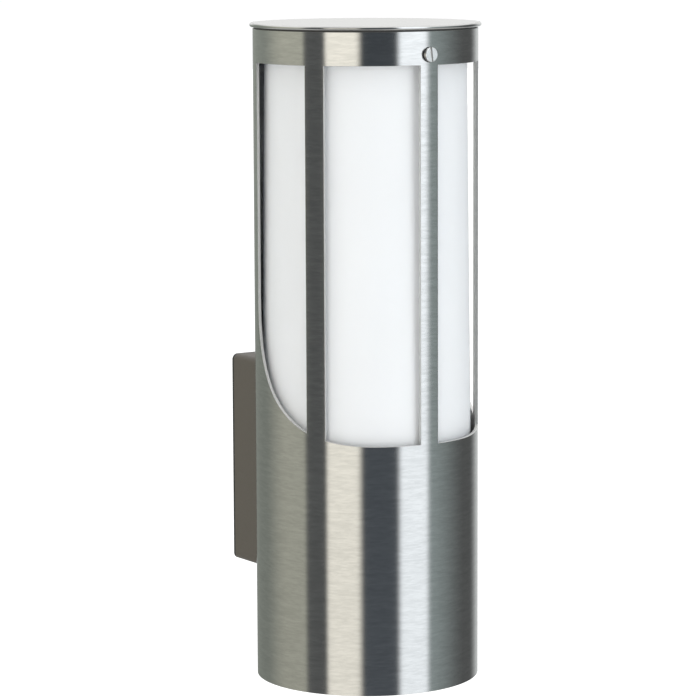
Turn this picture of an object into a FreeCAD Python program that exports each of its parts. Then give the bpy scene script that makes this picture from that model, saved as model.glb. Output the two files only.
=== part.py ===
import FreeCAD, Part
import math
import os

# Tube wall light, in millimetres. +Z is up, +Y points into the wall and the wall is the plane Y = 0.
# The origin is the middle of the wall box's outline on the wall. The tube stands in front, at negative Y.
# A height is counted from the tube's foot, and a reach is counted forwards from the tube's axis.

Vector = FreeCAD.Vector
UP = Vector(0, 0, 1)
TO_WALL = Vector(0, 1, 0)
RIGHT = Vector(1, 0, 0)

# --- Tube and windows ---
TUBE_DIAMETER = 110.0
TUBE_WALL = 1.5
TUBE_HEIGHT = 320.0
WALL_GAP = 25.0                 # from the wall to the nearest line of the tube
COLLAR_HEIGHT = 16.0            # band of tube left above the windows
SILL_HEIGHT = 122.0             # lower edge of the front windows
BAR_WIDTH = 10.0
BAR_ANGLES = (-60.0, 0.0, 60.0)
SPINE_SETBACK = 16.0            # the side windows end this far behind the axis
SWEEP_RADIUS = 66.0             # seen from the side, the windows' lower edge sweeps up on this arc

# --- Clearances ---
SLIDE_GAP = 0.3                 # radial gap of what lifts out, and of what is dropped in
CURVED_GAP = 0.05               # between curved faces that are clamped together
PUSH_GAP = 0.1                  # radial gap of pieces that are pushed in
TAPPED_GAP = 0.05               # radial gap of a screw in its tapped hole
CLEARANCE_GAP = 0.2             # radial gap of a screw in a plain hole

# --- Lid ---
LID_OVERHANG = 1.5
LID_THICKNESS = 2.0
LID_EDGE_ROUND = 0.75
LID_GASKET_THICKNESS = 0.8
LID_GASKET_RECESS = 0.6         # the gasket's edge stays this far inside the tube's face
SPIGOT_DEPTH = 13.5
SPIGOT_WALL = 1.2
SPIGOT_FLAT_INSET = 1.8         # how far the pressed flat for the screw's tip lies inside the spigot
LID_PAD_OUTER_RADIUS = 34.0
LID_PAD_INNER_RADIUS = 24.0

# --- Lid screw ---
LID_SCREW_DIAMETER = 4.0
LID_SCREW_DROP = 11.0           # its axis below the tube's top
LID_SCREW_HEAD_DIAMETER = 7.0
LID_SCREW_HEAD_HEIGHT = 1.6
LID_SCREW_EDGE_ROUND = 0.35
LID_SCREW_SLOT_WIDTH = 1.0
LID_SCREW_SLOT_DEPTH = 0.9
LID_SCREW_SLOT_TILT = 7.5       # the slot at rest, in degrees from upright
LID_SCREW_WASHER_DIAMETER = 7.4
LID_SCREW_WASHER_THICKNESS = 0.4

# --- Diffuser ---
DIFFUSER_SIDE_GAP = 2.1         # from its foot to the tube's bore
DIFFUSER_DRAFT = 2.0            # how much less its radius is at the top
DIFFUSER_WALL = 3.0
DIFFUSER_TOP_GAP = 4.0          # from its top to the lid
DIFFUSER_CORNER_RADIUS = 8.0
DIFFUSER_FOOT_ROUND = 1.0

# --- Gear bracket, which carries the lampholder and the diffuser ---
DECK_DROP = 8.0                 # the deck's face below the sill
DECK_THICKNESS = 1.5
SEAT_THICKNESS = 2.0            # the diffuser gasket's floor
SEAT_LIP_HEIGHT = 5.0
SEAT_LIP_WALL = 1.5
SEAT_WIDTH = 6.0
FLANGE_TAIL = 13.0              # how far the flange reaches below the lower tube screw
FLANGE_HALF_ANGLE = 20.0
DECK_HOLE_DIAMETER = 6.0

# --- Lampholder, E27 ---
HOLDER_BASE_RADIUS = 20.0
HOLDER_WAIST_RADIUS = 18.5
HOLDER_BASE_HEIGHT = 10.0
HOLDER_HEIGHT = 37.0
HOLDER_FLOOR = 8.0
HOLDER_RIM_ROUND = 1.2
TERMINAL_OFFSET = 11.0          # the lead bores on either side of the holder's axis
TERMINAL_SIZE = (7.0, 6.6, 5.8)
TERMINAL_POST_DIAMETER = 2.5
TERMINAL_SCREW_DIAMETER = 2.5
TERMINAL_SCREW_HEAD_DIAMETER = 4.2
TERMINAL_SCREW_HEAD_HEIGHT = 1.6
TERMINAL_BORE_SHARE = 0.7       # how deep the lead bores go, as a share of the terminal's height
HOLDER_SCREW_OFFSET = 13.0
HOLDER_SCREW_DIAMETER = 3.0
HOLDER_SCREW_LENGTH = 7.0
HOLDER_SCREW_HEAD_DIAMETER = 5.5
HOLDER_SCREW_HEAD_HEIGHT = 2.0
SHELL_THICKNESS = 0.5
SHELL_TAB_WIDTH = 5.0
SHELL_TAB_REACH = 2.0           # how far the tab passes the terminal post's middle
CONTACT_THICKNESS = 0.6
CONTACT_WIDTH = 7.0
CONTACT_FOOT_REACH = 1.5        # how far the strip passes the terminal post's middle
CONTACT_BEND_X = 5.5            # the strip leaves the floor here
CONTACT_CREST_X = 2.5           # and runs level under the tip from here
CONTACT_TAIL_X = 5.0
CONTACT_TAIL_RISE = 0.8

# --- Bulb, E27 ---
BULB_LENGTH = 105.0
BULB_RADIUS = 30.0
BULB_RIM_RADIUS = 26.0          # where the dome meets the housing
BULB_NECK_RADIUS = 13.8
BULB_WALL = 1.5
BULB_BOARD_THICKNESS = 1.6
CAP_HEIGHT = 22.0
CAP_THICKNESS = 0.6
CAP_CREST_RADIUS = 13.0
CAP_ROOT_RADIUS = 12.3
CAP_PITCH = 3.6
CAP_RINGS = 5
CAP_ABOVE_TIP = 5.0             # the cap's lower rim above the tip
THREAD_GAP = 0.5                # radial gap between the cap's rings and the shell's
TIP_ABOVE_FLOOR = 4.0           # the bulb's tip above the holder's floor
TIP_GAP = 0.3
TIP_RADIUS = 4.5
TIP_HEIGHT = 1.5
TIP_FLAT_RADIUS = 2.6
INSULATOR_PLUG_DEPTH = 2.0      # how far the insulator stands up inside the cap
HOUSING_PLUG_DEPTH = 3.0        # how far the housing's neck stands down inside the cap

# --- Foot cap ---
FOOT_CAP_FLOOR = 2.0
FOOT_CAP_HEIGHT = 12.0
FOOT_CAP_WALL = 2.0
DRAIN_DIAMETER = 6.0
DRAIN_OFFSET = 34.0

# --- Wall box ---
BOX_WIDTH = 58.0
BOX_HEIGHT = 106.0
BOX_CENTRE_DROP = 22.0          # its middle below the sill
BOX_WALL = 3.0
BOX_CORNER_RADIUS = 3.0
BOX_GASKET_THICKNESS = 1.0
BOX_GASKET_INSET = 1.0
WALL_GASKET_THICKNESS = 1.5
BOSS_DIAMETER = 11.0
BOSS_LENGTH = 8.5
LOWER_SCREW_MARGIN = 11.0       # the lower tube screw above the box's foot
UPPER_SCREW_DROP = 10.5         # the upper tube screw below the deck
TUBE_SCREW_DIAMETER = 5.0
TUBE_SCREW_LENGTH = 16.0
TUBE_SCREW_HEAD_FLATS = 8.0
TUBE_SCREW_HEAD_HEIGHT = 3.5
TUBE_WASHER_DIAMETER = 10.0
TUBE_WASHER_THICKNESS = 1.0
BOX_SCREW_DIAMETER = 4.0
BOX_SCREW_LENGTH = 8.0
BOX_SCREW_SETBACK = 8.0         # its axis in front of the wall
PAN_HEAD_DIAMETER = 7.5
PAN_HEAD_HEIGHT = 2.4

# --- Wall plate ---
PLATE_THICKNESS = 2.0
PLATE_WIDTH = 50.0
TAB_WIDTH = 16.0
TAB_REACH = 13.0
WALL_HOLE_DIAMETER = 5.5
WALL_HOLE_MARGIN = 17.0         # from the box's top and foot to the wall screws
GROMMET_HOLE_DIAMETER = 14.0
GROMMET_FLANGE_DIAMETER = 18.0
GROMMET_FLANGE_THICKNESS = 1.5
GROMMET_BORE_DIAMETER = 8.0
GROMMET_DROP = 14.0             # its middle below the plate's

# --- Terminal block ---
BLOCK_SIZE = (30.0, 13.0, 16.0)
BLOCK_CENTRE_Z = 20.0
BLOCK_PITCH = 9.0
BLOCK_GROOVE = 1.2
BLOCK_BORE_SETBACK = 6.0        # the lead bores in front of the wall plate
CLAMP_SIDE = 5.0
CLAMP_INSET = 1.0               # the clamps' ends inside the block's faces
CLAMP_BORE_DIAMETER = 3.2
CLAMP_SCREW_DIAMETER = 3.0
CLAMP_SCREW_LENGTH = 4.5
CLAMP_SCREW_SLOT = 0.6
CLAMP_SCREW_SPACING = 8.0
BLOCK_SCREW_DIAMETER = 2.5
BLOCK_SCREW_HEAD_DIAMETER = 3.7
BLOCK_SCREW_HEAD_HEIGHT = 1.4
BLOCK_FLOOR = 2.0

# --- Leads ---
LEAD_DIAMETER = 2.2
LEAD_HOLE_DIAMETER = 12.0
LEAD_STRAIGHT = 12.0            # the leads run straight this far into the tube
LEAD_HOLD = 4.0                 # the leads' ends in the block, above or below its middle
LEAD_PAIR_OFFSET = 1.8          # live and neutral in the bush: to each side of its middle
LEAD_PAIR_RISE = 1.2            # and above it
EARTH_LEAD_DROP = 2.1           # the earth lead in the bush, below its middle
BUSH_BORE_DIAMETER = 8.0
BUSH_FLANGE_DIAMETER = 15.0
BUSH_FLANGE_THICKNESS = 1.5
BUSH_TAIL = 1.5                 # how far the bush stands out inside the box
EARTH_SCREW_DIAMETER = 4.0
EARTH_SCREW_LENGTH = 8.0
EARTH_SCREW_HEAD_DIAMETER = 7.0
EARTH_EYE_RADIUS = 3.6
EARTH_TONGUE_WIDTH = 3.4
EARTH_SCREW_PLACE = (24.0, 16.0)    # to the right of the axis, and in front of it
EARTH_NUT_FLATS = 7.0
EARTH_NUT_HEIGHT = 3.2
EARTH_TAG_THICKNESS = 0.8
EARTH_TAG_LENGTH = 9.0
EARTH_BARREL_WALL = 0.6
EARTH_BARREL_LENGTH = 5.0

# --- Worked out from the sizes above ---
TUBE_RADIUS = TUBE_DIAMETER / 2
TUBE_BORE = TUBE_RADIUS - TUBE_WALL
AXIS_Y = -(WALL_GAP + TUBE_RADIUS)
SILL_Z = BOX_CENTRE_DROP
FOOT_Z = SILL_Z - SILL_HEIGHT
RIM_Z = FOOT_Z + TUBE_HEIGHT
WINDOW_TOP_Z = RIM_Z - COLLAR_HEIGHT
LID_Z = RIM_Z + LID_GASKET_THICKNESS
LID_RADIUS = TUBE_RADIUS + LID_OVERHANG
SPIGOT_RADIUS = TUBE_BORE - SLIDE_GAP
LID_SCREW_Z = RIM_Z - LID_SCREW_DROP
DECK_Z = SILL_Z - DECK_DROP
DECK_UNDERSIDE_Z = DECK_Z - DECK_THICKNESS
DIFFUSER_FOOT_RADIUS = TUBE_BORE - DIFFUSER_SIDE_GAP
DIFFUSER_TOP_RADIUS = DIFFUSER_FOOT_RADIUS - DIFFUSER_DRAFT
DIFFUSER_FOOT_Z = DECK_Z + SEAT_THICKNESS
DIFFUSER_TOP_Z = LID_Z - DIFFUSER_TOP_GAP
FLANGE_RADIUS = TUBE_BORE - PUSH_GAP
FLANGE_BORE = FLANGE_RADIUS - DECK_THICKNESS
HOLDER_FLOOR_Z = DECK_Z + HOLDER_FLOOR
HOLDER_RIM_Z = DECK_Z + HOLDER_HEIGHT
BULB_TIP_Z = HOLDER_FLOOR_Z + TIP_ABOVE_FLOOR
CAP_FOOT_Z = BULB_TIP_Z + CAP_ABOVE_TIP
CAP_TOP_Z = CAP_FOOT_Z + CAP_HEIGHT
SHELL_CREST_RADIUS = CAP_CREST_RADIUS + THREAD_GAP
SHELL_ROOT_RADIUS = CAP_ROOT_RADIUS + THREAD_GAP
SHELL_OUTER_RADIUS = SHELL_CREST_RADIUS + SHELL_THICKNESS
SADDLE_RADIUS = TUBE_RADIUS + BOX_GASKET_THICKNESS
SADDLE_BACK_RADIUS = SADDLE_RADIUS + BOX_WALL
BOX_INNER_WIDTH = BOX_WIDTH - 2 * BOX_WALL
BOX_INNER_HEIGHT = BOX_HEIGHT - 2 * BOX_WALL
PLATE_HEIGHT = BOX_INNER_HEIGHT - 2 * SLIDE_GAP
LOWER_SCREW_Z = LOWER_SCREW_MARGIN - BOX_HEIGHT / 2
UPPER_SCREW_Z = DECK_UNDERSIDE_Z - UPPER_SCREW_DROP
LEAD_HOLE_Z = (LOWER_SCREW_Z + UPPER_SCREW_Z) / 2
BLOCK_BORE_Y = -(PLATE_THICKNESS + BLOCK_BORE_SETBACK)


# --- Small tools ---

def on_axis(height_z, reach=0.0, right=0.0):
    """A point given by its reach in front of the tube's axis and its place to the right of it."""
    return Vector(right, AXIS_Y - reach, height_z)


def rod(radius, start, direction, length):
    return Part.makeCylinder(radius, length, start, direction)


def column(radius, low_z, high_z, reach=0.0, right=0.0):
    """An upright cylinder, on the tube's axis unless it is told otherwise."""
    return rod(radius, on_axis(low_z, reach, right), UP, high_z - low_z)


def ring(outer, inner, low_z, high_z):
    return column(outer, low_z, high_z).cut(column(inner, low_z, high_z))


def block(low, high):
    size = Vector(*high) - Vector(*low)
    return Part.makeBox(size.x, size.y, size.z, Vector(*low))


def plate_outline(width, height, radius, back_y, front_y):
    """A rounded rectangle centred on the origin, from back_y out to front_y."""
    body = block((-width / 2, front_y, -height / 2), (width / 2, back_y, height / 2))
    along_y = [edge for edge in body.Edges if abs(edge.tangentAt(edge.FirstParameter).y) > 0.99]
    return body.makeFillet(radius, along_y)


def hexagon(across_flats, start, direction, length):
    """A six-sided prism."""
    disc = Part.makeCircle(across_flats / math.sqrt(3), start, direction)
    corners = disc.discretize(7)
    return Part.Face(Part.makePolygon(corners)).extrude(Vector(direction) * length)


def turned(points):
    """Turns a closed outline about the tube's axis.

    A point is (radius, z), or (radius, z, middle radius, middle z) where an arc leads to the next point.
    """
    edges = []
    for index, point in enumerate(points):
        start, *middle = [on_axis(point[i + 1], 0, point[i]) for i in range(0, len(point), 2)]
        following = points[(index + 1) % len(points)]
        end = on_axis(following[1], 0, following[0])
        edge = Part.Arc(start, middle[0], end) if middle else Part.LineSegment(start, end)
        edges.append(edge.toShape())
    return Part.Face(Part.Wire(edges)).revolve(on_axis(0), UP, 360)


def waves(root, crest, low_z, thickness=0.0):
    """The points of CAP_RINGS rounded rings, upwards, each of two arcs."""
    middle = (root + crest) / 2 + thickness
    points = []
    for index in range(CAP_RINGS):
        z = low_z + index * CAP_PITCH
        points.append((middle, z, crest + thickness, z + CAP_PITCH / 4))
        points.append((middle, z + CAP_PITCH / 2, root + thickness, z + CAP_PITCH * 3 / 4))
    points.append((middle, low_z + CAP_RINGS * CAP_PITCH))
    return points


def backwards(points):
    """The same outline walked the other way, with each arc's middle point moved to its new start."""
    walked = []
    for index in range(len(points) - 1, -1, -1):
        start = points[index][:2]
        middle = points[index - 1][2:] if index > 0 else ()
        walked.append(tuple(start) + tuple(middle))
    return walked


def slotted_screw(diameter, length, head_diameter, head_height, seat, into):
    """A cheese-head screw: seat is the middle of the head's underside, and the shank runs along into.

    The slot is a seventh of the head wide and half as deep as the head is high.
    """
    shank = rod(diameter / 2, seat, into, length)
    head = rod(head_diameter / 2, seat, into * -1, head_height)
    head = head.makeFillet(head_height / 7, [edge_farthest(head, into * -1)])
    width = head_diameter / 7
    side = into.cross(UP) if abs(into.z) < 0.5 else RIGHT
    across = into.cross(side)
    low = seat - into * head_height * 1.5 - across * head_diameter - side * (width / 2)
    slot = Part.makePolygon([low, low + side * width, low + side * width + across * 2 * head_diameter,
                             low + across * 2 * head_diameter, low])
    slot = Part.Face(slot).extrude(into * head_height)
    return head.cut(slot).fuse(shank).removeSplitter()


def edge_farthest(shape, direction):
    return max(shape.Edges, key=lambda edge: edge.CenterOfMass.dot(direction) + edge.Length * 1e-6)


def rounded_path(points):
    """Straight runs joined by tangent arcs, each as large as its two runs allow."""
    edges = []
    radii = []
    here = points[0]
    for before, corner, after in zip(points, points[1:], points[2:]):
        back = before - corner
        ahead = after - corner
        turn = math.pi - back.getAngle(ahead)
        tangent = 0.45 * min(back.Length, ahead.Length)
        radius = tangent / math.tan(turn / 2)
        radii.append(round(radius, 1))
        back.normalize()
        ahead.normalize()
        start = corner + back * tangent
        end = corner + ahead * tangent
        inward = back + ahead
        inward.normalize()
        depth = radius / math.cos(turn / 2) - radius
        edges.append(Part.LineSegment(here, start).toShape())
        edges.append(Part.Arc(start, corner + inward * depth, end).toShape())
        here = end
    edges.append(Part.LineSegment(here, points[-1]).toShape())
    return Part.Wire(edges), radii


def lead(name, points):
    """An insulated lead swept along its route; prints its bends, and its volume against its length."""
    path, radii = rounded_path([Vector(*point) for point in points])
    start = path.Edges[0]
    section = Part.Wire(Part.makeCircle(LEAD_DIAMETER / 2, start.Vertexes[0].Point, start.tangentAt(0)))
    tube = path.makePipeShell([section], True, False)
    expected = math.pi * LEAD_DIAMETER ** 2 / 4 * path.Length
    print(name, "bend radii", radii, "length", round(path.Length, 1), "volume ratio", tube.Volume / expected)
    return tube


def save(name, *solids):
    shape = solids[0] if len(solids) == 1 else Part.makeCompound(list(solids))
    shape.exportStep("parts/" + name + ".step")
    print(name, len(shape.Solids), "valid" if shape.isValid() else "NOT VALID", round(shape.Volume, 1))


# --- Tube ---

def window_space():
    """The space of all four windows: the side view's outline carried across, less the three bars."""
    spine_y = AXIS_Y + SPINE_SETBACK
    arc_top_z = SILL_Z + SWEEP_RADIUS
    arc_foot_y = spine_y - SWEEP_RADIUS
    front_y = min(AXIS_Y - TUBE_DIAMETER, arc_foot_y - TUBE_DIAMETER)
    left_x = -TUBE_DIAMETER
    arc_turn = SWEEP_RADIUS * math.sqrt(0.5)
    arc_middle = Vector(left_x, arc_foot_y + arc_turn, arc_top_z - arc_turn)
    corners = [Vector(left_x, arc_foot_y, SILL_Z), Vector(left_x, spine_y, arc_top_z),
               Vector(left_x, spine_y, WINDOW_TOP_Z), Vector(left_x, front_y, WINDOW_TOP_Z),
               Vector(left_x, front_y, SILL_Z)]
    edges = [Part.Arc(corners[0], arc_middle, corners[1]).toShape()]
    for start, end in zip(corners[1:], corners[2:] + corners[:1]):
        edges.append(Part.LineSegment(start, end).toShape())
    space = Part.Face(Part.Wire(edges)).extrude(RIGHT * (2 * TUBE_DIAMETER))
    for angle in BAR_ANGLES:
        bar = block((-BAR_WIDTH / 2, AXIS_Y - TUBE_DIAMETER, SILL_Z - 1),
                    (BAR_WIDTH / 2, AXIS_Y, WINDOW_TOP_Z + 1))
        bar.rotate(on_axis(0), UP, angle)
        space = space.cut(bar)
    return space


def tube_screw_places(reach=0.0):
    return [on_axis(z, reach) for z in (LOWER_SCREW_Z, UPPER_SCREW_Z)]


def rear_holes():
    """Cutters along Y for the two tube screws and the lead bush, from the axis to the wall."""
    radius = TUBE_SCREW_DIAMETER / 2 + CLEARANCE_GAP
    cutters = [rod(radius, place, TO_WALL, -AXIS_Y) for place in tube_screw_places()]
    cutters.append(rod(LEAD_HOLE_DIAMETER / 2, on_axis(LEAD_HOLE_Z), TO_WALL, -AXIS_Y))
    return cutters


def tube_body():
    tube = ring(TUBE_RADIUS, TUBE_BORE, FOOT_Z, RIM_Z).cut(window_space())
    tapped = rod(LID_SCREW_DIAMETER / 2 + TAPPED_GAP, on_axis(LID_SCREW_Z), TO_WALL * -1, TUBE_DIAMETER)
    return tube.cut(rear_holes() + [tapped])


# --- Lid ---

def top_lid():
    lid = column(LID_RADIUS, LID_Z, LID_Z + LID_THICKNESS)
    rims = [edge for edge in lid.Edges if abs(edge.Length - 2 * math.pi * LID_RADIUS) < 0.01]
    return lid.makeFillet(LID_EDGE_ROUND, rims)


def lid_gasket():
    return ring(TUBE_RADIUS - LID_GASKET_RECESS, SPIGOT_RADIUS + PUSH_GAP, RIM_Z, LID_Z)


def flattened(radius, flat_reach, low_z, high_z):
    """A cylinder whose front is cut flat."""
    front = block((-radius, AXIS_Y - 2 * radius, low_z), (radius, AXIS_Y - flat_reach, high_z))
    return column(radius, low_z, high_z).cut(front)


def lid_spigot():
    foot_z = RIM_Z - SPIGOT_DEPTH
    flat = SPIGOT_RADIUS - SPIGOT_FLAT_INSET
    outside = flattened(SPIGOT_RADIUS, flat, foot_z, LID_Z)
    inside = flattened(SPIGOT_RADIUS - SPIGOT_WALL, flat - SPIGOT_WALL, foot_z, LID_Z)
    return outside.cut(inside)


def lid_pad():
    return ring(LID_PAD_OUTER_RADIUS, LID_PAD_INNER_RADIUS, DIFFUSER_TOP_Z + SLIDE_GAP, LID_Z)


def lid_screw():
    """The slotted lid screw. Its tip stops just short of the flat on the spigot."""
    out = TO_WALL * -1
    seat = on_axis(LID_SCREW_Z, TUBE_RADIUS + LID_SCREW_WASHER_THICKNESS)
    tip_reach = SPIGOT_RADIUS - SPIGOT_FLAT_INSET + SLIDE_GAP
    length = TUBE_RADIUS + LID_SCREW_WASHER_THICKNESS - tip_reach
    shank = rod(LID_SCREW_DIAMETER / 2, seat, TO_WALL, length)
    head = rod(LID_SCREW_HEAD_DIAMETER / 2, seat, out, LID_SCREW_HEAD_HEIGHT)
    head = head.makeFillet(LID_SCREW_EDGE_ROUND, [edge_farthest(head, out)])
    face_y = seat.y - LID_SCREW_HEAD_HEIGHT
    slot = block((-LID_SCREW_SLOT_WIDTH / 2, face_y - 1, seat.z - LID_SCREW_HEAD_DIAMETER),
                 (LID_SCREW_SLOT_WIDTH / 2, face_y + LID_SCREW_SLOT_DEPTH, seat.z + LID_SCREW_HEAD_DIAMETER))
    slot.rotate(seat, TO_WALL, -LID_SCREW_SLOT_TILT)
    return head.cut(slot).fuse(shank).removeSplitter()


def lid_screw_washer():
    seat = on_axis(LID_SCREW_Z, TUBE_RADIUS)
    disc = rod(LID_SCREW_WASHER_DIAMETER / 2, seat, TO_WALL * -1, LID_SCREW_WASHER_THICKNESS)
    hole = rod(LID_SCREW_DIAMETER / 2 + CLEARANCE_GAP, seat, TO_WALL * -1, LID_SCREW_WASHER_THICKNESS)
    return disc.cut(hole)


# --- Diffuser and its seat ---

def diffuser_radius(z):
    """The diffuser's outer radius at a height: it narrows evenly from foot to top."""
    share = (z - DIFFUSER_FOOT_Z) / (DIFFUSER_TOP_Z - DIFFUSER_FOOT_Z)
    return DIFFUSER_FOOT_RADIUS + share * (DIFFUSER_TOP_RADIUS - DIFFUSER_FOOT_RADIUS)


def domed_cone(foot_radius, top_radius, low_z, high_z, corner):
    body = Part.makeCone(foot_radius, top_radius, high_z - low_z, on_axis(low_z), UP)
    return body.makeFillet(corner, [edge_farthest(body, UP)])


def opal_diffuser():
    outside = domed_cone(DIFFUSER_FOOT_RADIUS, DIFFUSER_TOP_RADIUS, DIFFUSER_FOOT_Z, DIFFUSER_TOP_Z,
                         DIFFUSER_CORNER_RADIUS)
    roof_z = DIFFUSER_TOP_Z - DIFFUSER_WALL
    inside = domed_cone(DIFFUSER_FOOT_RADIUS - DIFFUSER_WALL, diffuser_radius(roof_z) - DIFFUSER_WALL,
                        DIFFUSER_FOOT_Z, roof_z, DIFFUSER_CORNER_RADIUS - DIFFUSER_WALL)
    shell = outside.cut(inside)
    foot = [edge for edge in shell.Edges if abs(edge.CenterOfMass.z - DIFFUSER_FOOT_Z) < 0.01]
    foot = [edge for edge in foot if edge.Length > 2 * math.pi * (DIFFUSER_FOOT_RADIUS - 1)]
    return shell.makeFillet(DIFFUSER_FOOT_ROUND, foot)


def diffuser_gasket():
    """A ring under the diffuser's foot, with a lip that centres its bore."""
    lip_radius = DIFFUSER_FOOT_RADIUS - DIFFUSER_WALL - SLIDE_GAP
    floor_ring = ring(DIFFUSER_FOOT_RADIUS, DIFFUSER_FOOT_RADIUS - SEAT_WIDTH, DECK_Z, DIFFUSER_FOOT_Z)
    lip = ring(lip_radius, lip_radius - SEAT_LIP_WALL, DECK_Z, DIFFUSER_FOOT_Z + SEAT_LIP_HEIGHT)
    return floor_ring.fuse(lip).removeSplitter()


def gear_bracket():
    """A round deck with a flange turned down against the tube's back."""
    deck = column(TUBE_BORE - SLIDE_GAP, DECK_UNDERSIDE_Z, DECK_Z)
    foot_z = LOWER_SCREW_Z - FLANGE_TAIL
    flange = ring(FLANGE_RADIUS, FLANGE_BORE, foot_z, DECK_Z)
    half_width = TUBE_RADIUS * math.sin(math.radians(FLANGE_HALF_ANGLE))
    flange = flange.common(block((-half_width, AXIS_Y, foot_z), (half_width, 0, DECK_Z)))
    bracket = deck.fuse(flange)
    cutters = rear_holes()
    for side in (-1, 1):
        cutters.append(column(DECK_HOLE_DIAMETER / 2, DECK_UNDERSIDE_Z, DECK_Z, 0, side * TERMINAL_OFFSET))
        cutters.append(column(HOLDER_SCREW_DIAMETER / 2 + CLEARANCE_GAP, DECK_UNDERSIDE_Z, DECK_Z,
                              side * HOLDER_SCREW_OFFSET))
    right, reach = EARTH_SCREW_PLACE
    cutters.append(column(EARTH_SCREW_DIAMETER / 2 + CLEARANCE_GAP, DECK_UNDERSIDE_Z, DECK_Z, reach, right))
    return bracket.cut(cutters).removeSplitter()


# --- Lampholder ---

def rounded_column(radius, low_z, high_z):
    body = column(radius, low_z, high_z)
    return body.makeFillet(HOLDER_RIM_ROUND, [edge_farthest(body, UP)])


def lampholder_body():
    """A holder with a stepped outside, a bore for the shell, and a pocket each side for its terminals."""
    base = rounded_column(HOLDER_BASE_RADIUS, DECK_Z, DECK_Z + HOLDER_BASE_HEIGHT)
    body = base.fuse(rounded_column(HOLDER_WAIST_RADIUS, DECK_Z, HOLDER_RIM_Z)).removeSplitter()
    body = body.cut(column(SHELL_OUTER_RADIUS + SLIDE_GAP, HOLDER_FLOOR_Z, HOLDER_RIM_Z))
    length, width, height = TERMINAL_SIZE
    for side in (-1, 1):
        inner_x = side * (TERMINAL_OFFSET - length / 2 - SLIDE_GAP)
        outer_x = side * HOLDER_BASE_RADIUS
        body = body.cut(block((min(inner_x, outer_x), AXIS_Y - width / 2 - SLIDE_GAP, DECK_Z),
                              (max(inner_x, outer_x), AXIS_Y + width / 2 + SLIDE_GAP,
                               DECK_Z + height + 2 * SLIDE_GAP)))
        post = column(TERMINAL_POST_DIAMETER / 2 + TAPPED_GAP, DECK_Z, HOLDER_FLOOR_Z,
                      0, side * TERMINAL_OFFSET)
        screw = column(HOLDER_SCREW_DIAMETER / 2 + TAPPED_GAP, DECK_Z,
                       DECK_UNDERSIDE_Z + HOLDER_SCREW_LENGTH + SLIDE_GAP, side * HOLDER_SCREW_OFFSET)
        body = body.cut([post, screw])
    return body


def lampholder_shell():
    """A threaded sheet shell whose lower skirt ends in a tab on the terminal post at the right."""
    low_z = CAP_FOOT_Z
    high_z = low_z + CAP_RINGS * CAP_PITCH
    foot_z = HOLDER_FLOOR_Z + SHELL_THICKNESS
    inner = waves(SHELL_ROOT_RADIUS, SHELL_CREST_RADIUS, low_z)
    outer = waves(SHELL_ROOT_RADIUS, SHELL_CREST_RADIUS, low_z, SHELL_THICKNESS)
    middle = (SHELL_ROOT_RADIUS + SHELL_CREST_RADIUS) / 2
    outline = [(middle, foot_z)] + inner + [(middle + SHELL_THICKNESS, high_z)] + backwards(outer)[1:]
    outline.append((middle + SHELL_THICKNESS, foot_z))
    shell = turned(outline)
    half_tab = SHELL_TAB_WIDTH / 2
    tab = block((TERMINAL_OFFSET - SHELL_TAB_REACH, AXIS_Y - half_tab, HOLDER_FLOOR_Z),
                (middle + SHELL_THICKNESS / 2, AXIS_Y + half_tab, foot_z + SHELL_THICKNESS / 2))
    return shell.fuse(tab).removeSplitter()


def lampholder_centre_contact():
    """A sprung strip from the terminal post at the left, raised in the middle under the bulb's tip."""
    rise = BULB_TIP_Z - TIP_GAP - CONTACT_THICKNESS - HOLDER_FLOOR_Z
    line = [(-TERMINAL_OFFSET - CONTACT_FOOT_REACH, 0.0), (-CONTACT_BEND_X, 0.0), (-CONTACT_CREST_X, rise),
            (CONTACT_CREST_X, rise), (CONTACT_TAIL_X, CONTACT_TAIL_RISE)]
    below = [Vector(x, AXIS_Y - CONTACT_WIDTH / 2, HOLDER_FLOOR_Z + z) for x, z in line]
    above = [point + UP * CONTACT_THICKNESS for point in reversed(below)]
    outline = Part.makePolygon(below + above + below[:1])
    return Part.Face(outline).extrude(TO_WALL * CONTACT_WIDTH)


def lampholder_terminals():
    """Two brass blocks, each with a bore for its lead below and a post up to the holder's floor."""
    length, width, height = TERMINAL_SIZE
    low_z = DECK_Z + SLIDE_GAP
    terminals = []
    for side in (-1, 1):
        x = side * TERMINAL_OFFSET
        body = block((x - length / 2, AXIS_Y - width / 2, low_z),
                     (x + length / 2, AXIS_Y + width / 2, low_z + height))
        body = body.fuse(column(TERMINAL_POST_DIAMETER / 2, low_z + height / 2, HOLDER_FLOOR_Z, 0, x))
        bore = column(LEAD_DIAMETER / 2 + CLEARANCE_GAP, low_z, low_z + height * TERMINAL_BORE_SHARE, 0, x)
        start = on_axis(low_z + height / 2, 0, x)
        tapped = rod(TERMINAL_SCREW_DIAMETER / 2 + TAPPED_GAP, start, RIGHT * side, length)
        terminals.append(body.cut([bore, tapped]).removeSplitter())
    return terminals


def lampholder_terminal_screws():
    length, _, height = TERMINAL_SIZE
    screws = []
    for side in (-1, 1):
        face = on_axis(DECK_Z + SLIDE_GAP + height / 2, 0, side * (TERMINAL_OFFSET + length / 2))
        reach = length / 2 - LEAD_DIAMETER / 2 - SLIDE_GAP
        screws.append(slotted_screw(TERMINAL_SCREW_DIAMETER, reach, TERMINAL_SCREW_HEAD_DIAMETER,
                                    TERMINAL_SCREW_HEAD_HEIGHT, face, RIGHT * -side))
    return screws


def lampholder_screws():
    return [slotted_screw(HOLDER_SCREW_DIAMETER, HOLDER_SCREW_LENGTH, HOLDER_SCREW_HEAD_DIAMETER,
                          HOLDER_SCREW_HEAD_HEIGHT, on_axis(DECK_UNDERSIDE_Z, side * HOLDER_SCREW_OFFSET), UP)
            for side in (-1, 1)]


# --- Bulb ---

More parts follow.
